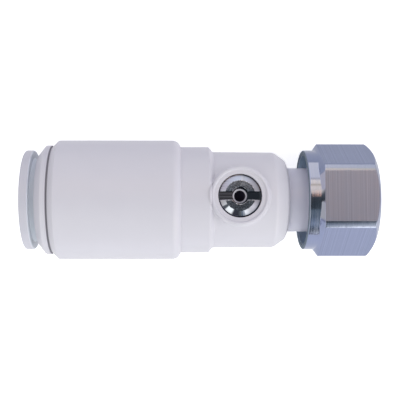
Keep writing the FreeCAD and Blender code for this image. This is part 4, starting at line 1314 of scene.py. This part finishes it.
def hexagon_flats():
    """Group that tells the nut's ground flats, hexagon, hollow and rear face apart.

    For three axes 60 degrees apart the point's height along each is |y cos a + z sin a|. On a
    flat the largest of them is half the width across flats, and everywhere else it is less.
    Hexagon and End read the place along the flow line from the hexagon's start, and Hollow the
    distance from the flow line.
    """
    inputs = {"Half Width": 0.012, "Hexagon Start": 0.0386}
    titles = ("Flats", "Hexagon", "Hollow", "End")
    group, entry, leave = start_group("hexagon_flats", inputs, titles)
    place = own_place(group)
    heights = []
    for side in range(3):
        lean = math.pi / 2 + side * math.pi / 3
        axis = (0.0, math.cos(lean), math.sin(lean))
        along = vector_node(group, "DOT_PRODUCT", {0: place, 1: axis})["Value"]
        heights.append(math_node(group, "ABSOLUTE", along))
    tallest = worked(group, heights[0], *[("MAXIMUM", height) for height in heights[1:]])
    short = math_node(group, "SUBTRACT", entry["Half Width"], tallest)
    x, y, z = split(group, place)
    past = math_node(group, "SUBTRACT", x, entry["Hexagon Start"])
    hexagon = ranged(group, past, *NUT_RANGES["hexagon"])
    flats = ranged(group, short, *NUT_RANGES["flats"])
    return end_group(group, leave, {
        "Flats": math_node(group, "MULTIPLY", flats, hexagon),
        "Hexagon": hexagon,
        "Hollow": ranged(group, distance(group, y, z), *NUT_RANGES["hollow"]),
        "End": ranged(group, past, *NUT_RANGES["end"]),
    })


def stem_hollow():
    """Group that tells apart the stem's slot, pit and hole, where painted shade grows with depth.

    The slot is what lies under the crown inside the rim, and the ledge round the rim; the hole
    is what lies under the slot's floor inside the hole's radius, and the lip is its chamfer.
    Hand goes from 0 on the socket's side of the axis to 1 on the nut's side. Streak is noise
    of the place across the slot.
    """
    titles = ("Slot", "Hole", "Lip", "Crown", "Hand", "Streak")
    group, entry, leave = start_group("stem_hollow", {"Centre": (0.0, 0.0, 0.0)}, titles)
    offset = vector_node(group, "SUBTRACT", {0: own_place(group), 1: entry["Centre"]})[0]
    x, y, z = split(group, offset)
    radius = distance(group, x, y)
    masks = {
        key: ranged(group, value, *STEM_RANGES[key])
        for key, value in (
            ("inside", radius), ("deep", z), ("ledge", radius), ("hole", radius),
            ("under", z), ("lip", radius), ("crown", z), ("hand", x),
        )
    }
    slot = math_node(group, "MULTIPLY", masks["inside"], masks["deep"])
    single = add_node(group, "CombineXYZ", {"Y": y}).outputs[0]
    return end_group(group, leave, {
        "Slot": math_node(group, "MAXIMUM", slot, masks["ledge"]),
        "Hole": math_node(group, "MULTIPLY", masks["hole"], masks["under"]),
        "Lip": math_node(group, "MULTIPLY", masks["lip"], slot),
        "Crown": masks["crown"],
        "Hand": masks["hand"],
        "Streak": ranged(group, noise(group, single, STREAKS), *STEM_RANGES["streak"]),
    })


def add_group(tree, build, entries):
    """Add a shared node group to a material; it is built the first time it is asked for."""
    shared = bpy.data.node_groups.get(build.__name__) or build()
    node = tree.nodes.new("ShaderNodeGroup")
    node.node_tree = shared
    for key, entry in entries.items():
        put(tree, entry, node.inputs[key])
    return node


class Finish:
    """A material with a Principled shader, whose surface may come from a shared node group."""

    def __init__(self, name, build=None, **entries):
        self.material = bpy.data.materials.new(name)
        self.material.use_nodes = True
        self.tree = self.material.node_tree
        self.shader = self.tree.nodes["Principled BSDF"].inputs
        if build:
            self.surface = add_group(self.tree, build, entries)
            self.feed(**{key: self.surface.outputs[title] for key, title in SURFACE.items()})

    def feed(self, **entries):
        """Link or set the shader's inputs; a low line in a key stands for a space."""
        for key, entry in entries.items():
            put(self.tree, entry, self.shader[key.replace("_", " ")])

    def source(self, key):
        """Give the socket that feeds one of the shader's inputs."""
        return self.shader[key].links[0].from_socket

    def tint(self, share, tone):
        """Lay a tone over the base colour where the share is 1."""
        self.feed(Base_Color=mixed(self.tree, share, self.source("Base Color"), tone))


def moulded(name, tone, cloud=0.04, gloss=0.4, grain=0.12, depth=0.0):
    """Make a moulded plastic; depth is how far light goes in before it comes out."""
    finish = Finish(name, moulded_surface, Colour=tone, Cloud=cloud, Gloss=gloss, Grain=grain)
    if depth:
        finish.feed(Subsurface_Weight=0.3, Subsurface_Radius=(1.0, 0.9, 1.0))
        finish.feed(Subsurface_Scale=depth)
    return finish


def plated(name, tone, lines, gloss, centre=(0.0, 0.0, 0.0), radial=0.0):
    """Make a plated or bright metal with tool lines.

    The lines run round the flow line, or where radial is 1 round the upright axis at centre.
    """
    entries = {"Colour": tone, "Centre": centre, "Radial": radial, "Lines": lines, "Gloss": gloss}
    finish = Finish(name, turned_surface, **entries)
    finish.feed(Metallic=1.0)
    return finish


def shade_seam(finish, shoulder, tone):
    """Paint shade on a moulding: a darker tone inside the seam behind the cap's shoulder."""
    tree = finish.tree
    x = split(tree, own_place(tree))["X"]
    # Painted shade in the seam.
    finish.tint(ranged(tree, x, *[edge - shoulder for edge in SEAM_EDGES]), tone)


def shade_neck(finish, back, bore, tone):
    """Paint light on the collar's neck, in shade behind its flange and outside its bore."""
    tree = finish.tree
    x, y, z = split(tree, own_place(tree))
    outer = ranged(tree, distance(tree, y, z), *[edge + bore for edge in BORE_EDGES])
    behind = ranged(tree, x, *[edge - back for edge in NECK_EDGES])
    # Painted light on the neck.
    finish.tint(math_node(tree, "MULTIPLY", outer, behind), tone)


def shade_nut(finish, flat, colours):
    """Grind the nut's flats, and paint light and shade on its hollow, bore and rear face.

    The flats are rougher than the collar and have more lines. The hollow and bore get tones
    lighter than the plating: painted light in the recess. The rear face is seen nearly edge on,
    where bare metal mirrors a lamp whatever its colour, so it is duller, and its darker tone is
    painted shade.
    """
    tree, own = finish.tree, finish.surface.inputs
    masks = add_group(tree, hexagon_flats, {"Half Width": flat}).outputs
    ground = between(tree, masks["Flats"], own["Gloss"].default_value, FLATS_ROUGH)
    rough = between(tree, masks["Hollow"], 0.0, HOLLOW_ROUGH)
    lines = own["Lines"].default_value
    cut = between(tree, masks["Hexagon"], 0.0, HEXAGON_LINES)
    put(tree, math_node(tree, "MAXIMUM", ground, rough), own["Gloss"])
    put(tree, worked(tree, cut, ("MAXIMUM", masks["Flats"]), ("MAXIMUM", lines)), own["Lines"])
    # Painted light: lighter tones in the hollow and the bore.
    hollow = mixed(tree, masks["Hexagon"], colours.nut_hollow, colours.nut_bore)
    finish.tint(masks["Hollow"], hollow)
    # Painted shade: a darker tone on the rear face.
    finish.tint(masks["End"], colours.nut_end)
    dull = math_node(tree, "MULTIPLY", masks["End"], END_ROUGH)
    dull = math_node(tree, "MAXIMUM", dull, finish.source("Roughness"))
    finish.feed(Metallic=between(tree, masks["End"], 1.0, END_METALLIC), Roughness=dull)


def shade_stem(finish, centre, colours):
    """Paint shade in the stem's slot, pit and hole, a highlight on the hole's lip; mottle its
    crown.

    In the slot the painted shade is streaked on the socket's side and darker on the nut's side.
    The hole and its lip are dull, not metallic: the hole is near-black, painted shade, and the
    lip, the hole's chamfer, is pale, a painted highlight.
    """
    tree = finish.tree
    masks = add_group(tree, stem_hollow, {"Centre": centre}).outputs
    # Painted shade in the slot, streaked on the socket's side.
    streaked_shade = mixed(tree, masks["Streak"], colours.slot_dark, colours.slot_bright)
    finish.tint(masks["Slot"], mixed(tree, masks["Hand"], streaked_shade, colours.slot_shade))
    # Painted highlight on the hole's chamfer.
    finish.tint(masks["Lip"], colours.hole_lip)
    # Painted shade: the centre hole near-black.
    finish.tint(masks["Hole"], colours.hole)
    dull = math_node(tree, "MAXIMUM", masks["Lip"], masks["Hole"])
    rough = math_node(tree, "MAXIMUM", finish.source("Roughness"), dull)
    finish.feed(Metallic=ranged(tree, dull, 1.0, 0.0), Roughness=rough)
    put(tree, between(tree, masks["Crown"], *CROWN_CLOUD), finish.surface.inputs["Cloud"])


def dress(piece, finish):
    """Give a piece its slot and its material."""
    piece.data.materials.clear()
    piece.data.materials.append(finish.material)


def settle(piece, body, node, finish):
    """Give a new piece its body, its slot and its material, and hide the node that it stands for.
    """
    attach(piece, body)
    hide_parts(node)
    dress(piece, finish)


class VALVE_OT_body(bpy.types.Operator):
    """Build the body moulding."""

    bl_idname = "valve.body"
    bl_label = "Body"

    def execute(self, context):
        scene = context.scene
        finish = moulded("white_moulding", scene.valve_colours.moulding)
        piece = make_body_shell(scene.valve_body)
        settle(piece, "valve", "valve_body", finish)
        return {"FINISHED"}


class VALVE_OT_cap(bpy.types.Operator):
    """Build the cap ring."""

    bl_idname = "valve.cap"
    bl_label = "Cap ring"

    def execute(self, context):
        sizes, colours = context.scene.valve_cap, context.scene.valve_colours
        finish = moulded("cap_moulding", colours.moulding)
        # Painted shade in the seam behind the cap's shoulder.
        shade_seam(finish, sizes.shoulder, colours.seam)
        settle(make_cap_ring(sizes), "valve", "end_ring", finish)
        return {"FINISHED"}


class VALVE_OT_collar(bpy.types.Operator):
    """Build the gripping collar."""

    bl_idname = "valve.collar"
    bl_label = "Gripping collar"

    def execute(self, context):
        sizes, colours = context.scene.valve_cap, context.scene.valve_colours
        finish = moulded("collar_plastic", colours.collar, gloss=0.36)
        # Painted light on the collar's neck.
        shade_neck(finish, sizes.collar_front - sizes.flange, sizes.bore, colours.neck)
        settle(make_grip_collar(sizes), "grip_collar", "collet", finish)
        return {"FINISHED"}


class VALVE_OT_stem(bpy.types.Operator):
    """Build the slotted stem."""

    bl_idname = "valve.stem"
    bl_label = "Stem"

    def execute(self, context):
        sizes, colours = context.scene.valve_stem, context.scene.valve_colours
        centre = (sizes.place, 0.0, 0.0)
        finish = plated("plated_stem", colours.stem_plate, 0.06, 0.03, centre, radial=1.0)
        # Painted shade in the slot and hole, painted highlight on the hole's chamfer.
        shade_stem(finish, centre, colours)
        settle(make_stem_shell(sizes), "spindle", "stem", finish)
        return {"FINISHED"}


class VALVE_OT_tail(bpy.types.Operator):
    """Build the tail tube and its sealing washer."""

    bl_idname = "valve.tail"
    bl_label = "Tail and washer"

    def execute(self, context):
        sizes, colours = context.scene.valve_tail, context.scene.valve_colours
        finish = moulded("tail_plastic", colours.tail, cloud=0.1, gloss=0.34, depth=0.0012)
        settle(make_tail_tube(sizes), "valve", "tail", finish)
        finish = moulded("washer_rubber", colours.washer, cloud=0.3, gloss=0.62, grain=0.4)
        settle(make_tap_washer(sizes), "valve", "sealing_washer", finish)
        return {"FINISHED"}


class VALVE_OT_nut(bpy.types.Operator):
    """Build the hexagon nut."""

    bl_idname = "valve.nut"
    bl_label = "Hexagon nut"

    def execute(self, context):
        sizes, colours = context.scene.valve_nut, context.scene.valve_colours
        finish = plated("plated_nut", colours.plate, 0.1, 0.04)
        # Painted light in the nut's hollow and bore, painted shade on its rear face.
        shade_nut(finish, sizes.flat, colours)
        settle(make_hexagon_nut(sizes), "nut", "union_nut", finish)
        return {"FINISHED"}


class VALVE_OT_inner_parts(bpy.types.Operator):
    """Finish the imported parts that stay: seals, seats, ball, teeth and rings."""

    bl_idname = "valve.inner_parts"
    bl_label = "Inner parts"

    def execute(self, context):
        colours = context.scene.valve_colours
        centre = (context.scene.valve_stem.place, 0.0, 0.0)
        rubber = moulded("seal_rubber", colours.seal, cloud=0.4, gloss=0.5, grain=0.3)
        seat = moulded("seat_plastic", colours.seat, cloud=0.06, gloss=0.3, depth=0.0008)
        slip = moulded("slip_plastic", colours.slip, cloud=0.06, gloss=0.42)
        spacer = moulded("spacer_plastic", colours.moulding, gloss=0.45)
        steel = plated("tooth_steel", colours.tooth, 0.5, 0.22)
        chrome = plated("plated_ball", colours.stem_plate, 0.1, 0.05, centre, radial=1.0)
        for node, slot, finish in (
            ("pipe_o_ring", "seal_rubber", rubber),
            ("inlet_seat_o_ring", "seal_rubber", rubber),
            ("stem_o_ring", "seal_rubber", rubber),
            ("tail_o_ring", "seal_rubber", rubber),
            ("inlet_seat", "seat_plastic", seat),
            ("outlet_seat", "seat_plastic", seat),
            ("thrust_washer", "seat_plastic", seat),
            ("slip_ring", "slip_plastic", slip),
            ("spacer_ring", "white_moulding", spacer),
            ("collet_teeth", "tooth_steel", steel),
            ("ball", "plated_stem", chrome),
        ):
            dress(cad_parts[node], finish)
        return {"FINISHED"}


class VALVE_OT_stage(bpy.types.Operator):
    """Set the floor, the surroundings, the lamps and the camera."""

    bl_idname = "valve.stage"
    bl_label = "Stage"

    def execute(self, context):
        scene = context.scene
        stage = scene.valve_stage
        make_floor(scene.valve_colours, CAD_BOX[0][2])
        make_world(scene, stage.world)
        make_lamp("right_lamp", (0.36, -0.06, 0.30), stage.right_power)
        make_lamp("left_lamp", (-0.22, -0.10, 0.36), stage.left_power)
        make_camera(scene, stage)
        scene.view_settings.view_transform = "Standard"
        return {"FINISHED"}


def make_floor(colours, height):
    """Lay a wide floor just under the valve.

    It glows for the camera, so that it is nearly white, and a little in mirrors and through
    glass, more towards the near side.
    """
    mesh = bpy.data.meshes.new("studio_floor")
    corners = [(-1, -1), (1, -1), (1, 1), (-1, 1)]
    corners = [(x * FLOOR_REACH, y * FLOOR_REACH, height) for x, y in corners]
    mesh.from_pydata(corners, [], [(0, 1, 2, 3)])
    floor = bpy.data.objects.new("studio_floor", mesh)
    bpy.context.scene.collection.objects.link(floor)
    finish = Finish("studio_floor")
    tree = finish.tree
    ray = tree.nodes.new("ShaderNodeLightPath").outputs
    seen = math_node(tree, "MULTIPLY", ray["Is Camera Ray"], FLOOR_GLOW)
    shown = math_node(tree, "MAXIMUM", ray["Is Glossy Ray"], ray["Is Transmission Ray"])
    nearer = ranged(tree, split(tree, own_place(tree))["Y"], *MIRRORED_GLOW)
    glow = math_node(tree, "ADD", seen, math_node(tree, "MULTIPLY", shown, nearer))
    finish.feed(
        Base_Color=mixed(tree, shown, colours.floor, colours.floor_mirrored),
        Roughness=0.8,
        Specular_IOR_Level=0.1,
        Emission_Color=(1.0, 1.0, 1.0),
        Emission_Strength=glow,
    )
    mesh.materials.append(finish.material)


def by_degrees(stops):
    """Turn stops that begin with degrees into stops that begin with a share of a turn."""
    return [(degrees / 360 + 0.5, *tone) for degrees, *tone in stops]


def share_of_turn(tree, first, second):
    """Angle of two parts of a direction as a share of a turn, with 0 degrees at one half."""
    turn = math_node(tree, "ARCTAN2", first, second)
    return math_node(tree, "MULTIPLY_ADD", turn, 1 / TURN, 0.5)


def make_world(scene, strength):
    """Surround the stage: white for the camera, soft light, and a studio that metal mirrors.

    The soft light is picked from a ramp by the direction's share towards the far side. It is
    stronger low down and towards the nut. What metal mirrors is picked from ramps by the
    direction's angle from the zenith across the flow line: one for the middle, and one where
    the direction leans to the nut. Where it leans more along the flow line, or far across it
    and not to the nut, the walls show, picked by the angle round the zenith.
    """
    world = bpy.data.worlds.new("studio")
    scene.world = world
    world.use_nodes = True
    tree = world.node_tree
    x, y, z = split(tree, tree.nodes.new("ShaderNodeTexCoord").outputs["Generated"])
    rise = share_of_turn(tree, y, z)
    studio = stepped(tree, rise, by_degrees(SURROUNDINGS))
    nut_side = stepped(tree, rise, by_degrees(NUT_SIDE))
    walls = stepped(tree, share_of_turn(tree, y, x), by_degrees(WALLS))
    studio = mixed(tree, ranged(tree, x, *NUT_LEAN), studio, nut_side)
    outside = ranged(tree, math_node(tree, "ABSOLUTE", x), *WALL_LEAN)
    slanting = ranged(tree, math_node(tree, "ABSOLUTE", y), *WALL_SLANT)
    socket_side = math_node(tree, "SUBTRACT", 1.0, ranged(tree, x, *SLANT_END))
    slanting = math_node(tree, "MULTIPLY", slanting, socket_side)
    studio = mixed(tree, math_node(tree, "MAXIMUM", outside, slanting), studio, walls)
    far = math_node(tree, "MULTIPLY_ADD", y, 0.5, 0.5)
    plain = stepped(tree, far, [((share + 1) / 2, *tone) for share, *tone in SOFT_LIGHT])
    low = math_node(tree, "MULTIPLY_ADD", z, SOFT_UP * strength, SOFT_LEVEL * strength)
    lean = math_node(tree, "MULTIPLY", x, math_node(tree, "MULTIPLY_ADD", x, *SOFT_LEAN))
    soft = scaled(tree, plain, math_node(tree, "MULTIPLY_ADD", lean, strength, low))
    ray = tree.nodes.new("ShaderNodeLightPath").outputs
    shown = mixed(tree, ray["Is Glossy Ray"], soft, studio)
    shown = mixed(tree, ray["Is Camera Ray"], shown, (1.0, 1.0, 1.0))
    put(tree, shown, tree.nodes["Background"].inputs["Color"])


def make_lamp(name, place, power):
    """Hang a soft square lamp that faces the valve; metal doesn't mirror it."""
    light = bpy.data.lights.new(name, "AREA")
    light.shape = "SQUARE"
    light.size = LAMP_WIDTH
    light.energy = power
    lamp = bpy.data.objects.new(name, light)
    lamp.visible_glossy = False
    bpy.context.scene.collection.objects.link(lamp)
    aim = Vector(LAMP_AIM) - Vector(place)
    lamp.location = place
    lamp.rotation_euler = aim.to_track_quat("-Z", "Y").to_euler()


def make_camera(scene, stage):
    """Stand the camera over the valve, looking down at it as in the photograph."""
    lens = bpy.data.cameras.new("studio_camera")
    lens.lens = stage.lens
    lens.shift_x = stage.lens_shift
    lens.clip_start, lens.clip_end = 0.01, 10.0
    camera = bpy.data.objects.new("studio_camera", lens)
    scene.collection.objects.link(camera)
    place = Vector((stage.camera_across, stage.camera_side, stage.camera_up))
    aim = Vector((stage.aim_across, stage.aim_side, 0.0))
    back = (place - aim).normalized()
    up = back.cross(Vector((1.0, 0.0, 0.0))).normalized()
    right = up.cross(back)
    turn = Matrix((right, up, back)).transposed() @ Matrix.Rotation(stage.roll, 3, "Z")
    camera.matrix_world = Matrix.Translation(place) @ turn.to_4x4()
    scene.camera = camera


class VALVE_PT_panel(bpy.types.Panel):
    """List the valve's pieces and the stage in the sidebar."""

    bl_idname = "VALVE_PT_panel"
    bl_label = "Service valve"
    bl_space_type = "VIEW_3D"
    bl_region_type = "UI"
    bl_category = "Valve"

    def draw(self, context):
        for operator in OPERATORS:
            self.layout.operator(operator.bl_idname)


GROUPS = {
    "valve_body": ValveBodySizes,
    "valve_cap": ValveCapSizes,
    "valve_stem": ValveStemSizes,
    "valve_tail": ValveTailSizes,
    "valve_nut": ValveNutSizes,
    "valve_colours": ValveColours,
    "valve_stage": ValveStage,
}
OPERATORS = (
    VALVE_OT_stage,
    VALVE_OT_body,
    VALVE_OT_cap,
    VALVE_OT_collar,
    VALVE_OT_stem,
    VALVE_OT_tail,
    VALVE_OT_nut,
    VALVE_OT_inner_parts,
)
CLASSES = (*GROUPS.values(), *OPERATORS, VALVE_PT_panel)


def register():
    """Register the property groups, operators and panel."""
    for item in CLASSES:
        bpy.utils.register_class(item)
    for name, group in GROUPS.items():
        setattr(bpy.types.Scene, name, bpy.props.PointerProperty(type=group))


def unregister():
    """Take the panel, operators and property groups away again."""
    for name in GROUPS:
        delattr(bpy.types.Scene, name)
    for item in reversed(CLASSES):
        bpy.utils.unregister_class(item)


def main():
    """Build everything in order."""
    register()
    bpy.ops.valve.stage()
    bpy.ops.valve.body()
    bpy.ops.valve.cap()
    bpy.ops.valve.collar()
    bpy.ops.valve.stem()
    bpy.ops.valve.tail()
    bpy.ops.valve.nut()
    bpy.ops.valve.inner_parts()
    bpy.context.view_layer.update()


if __name__ == "__main__":
    main()
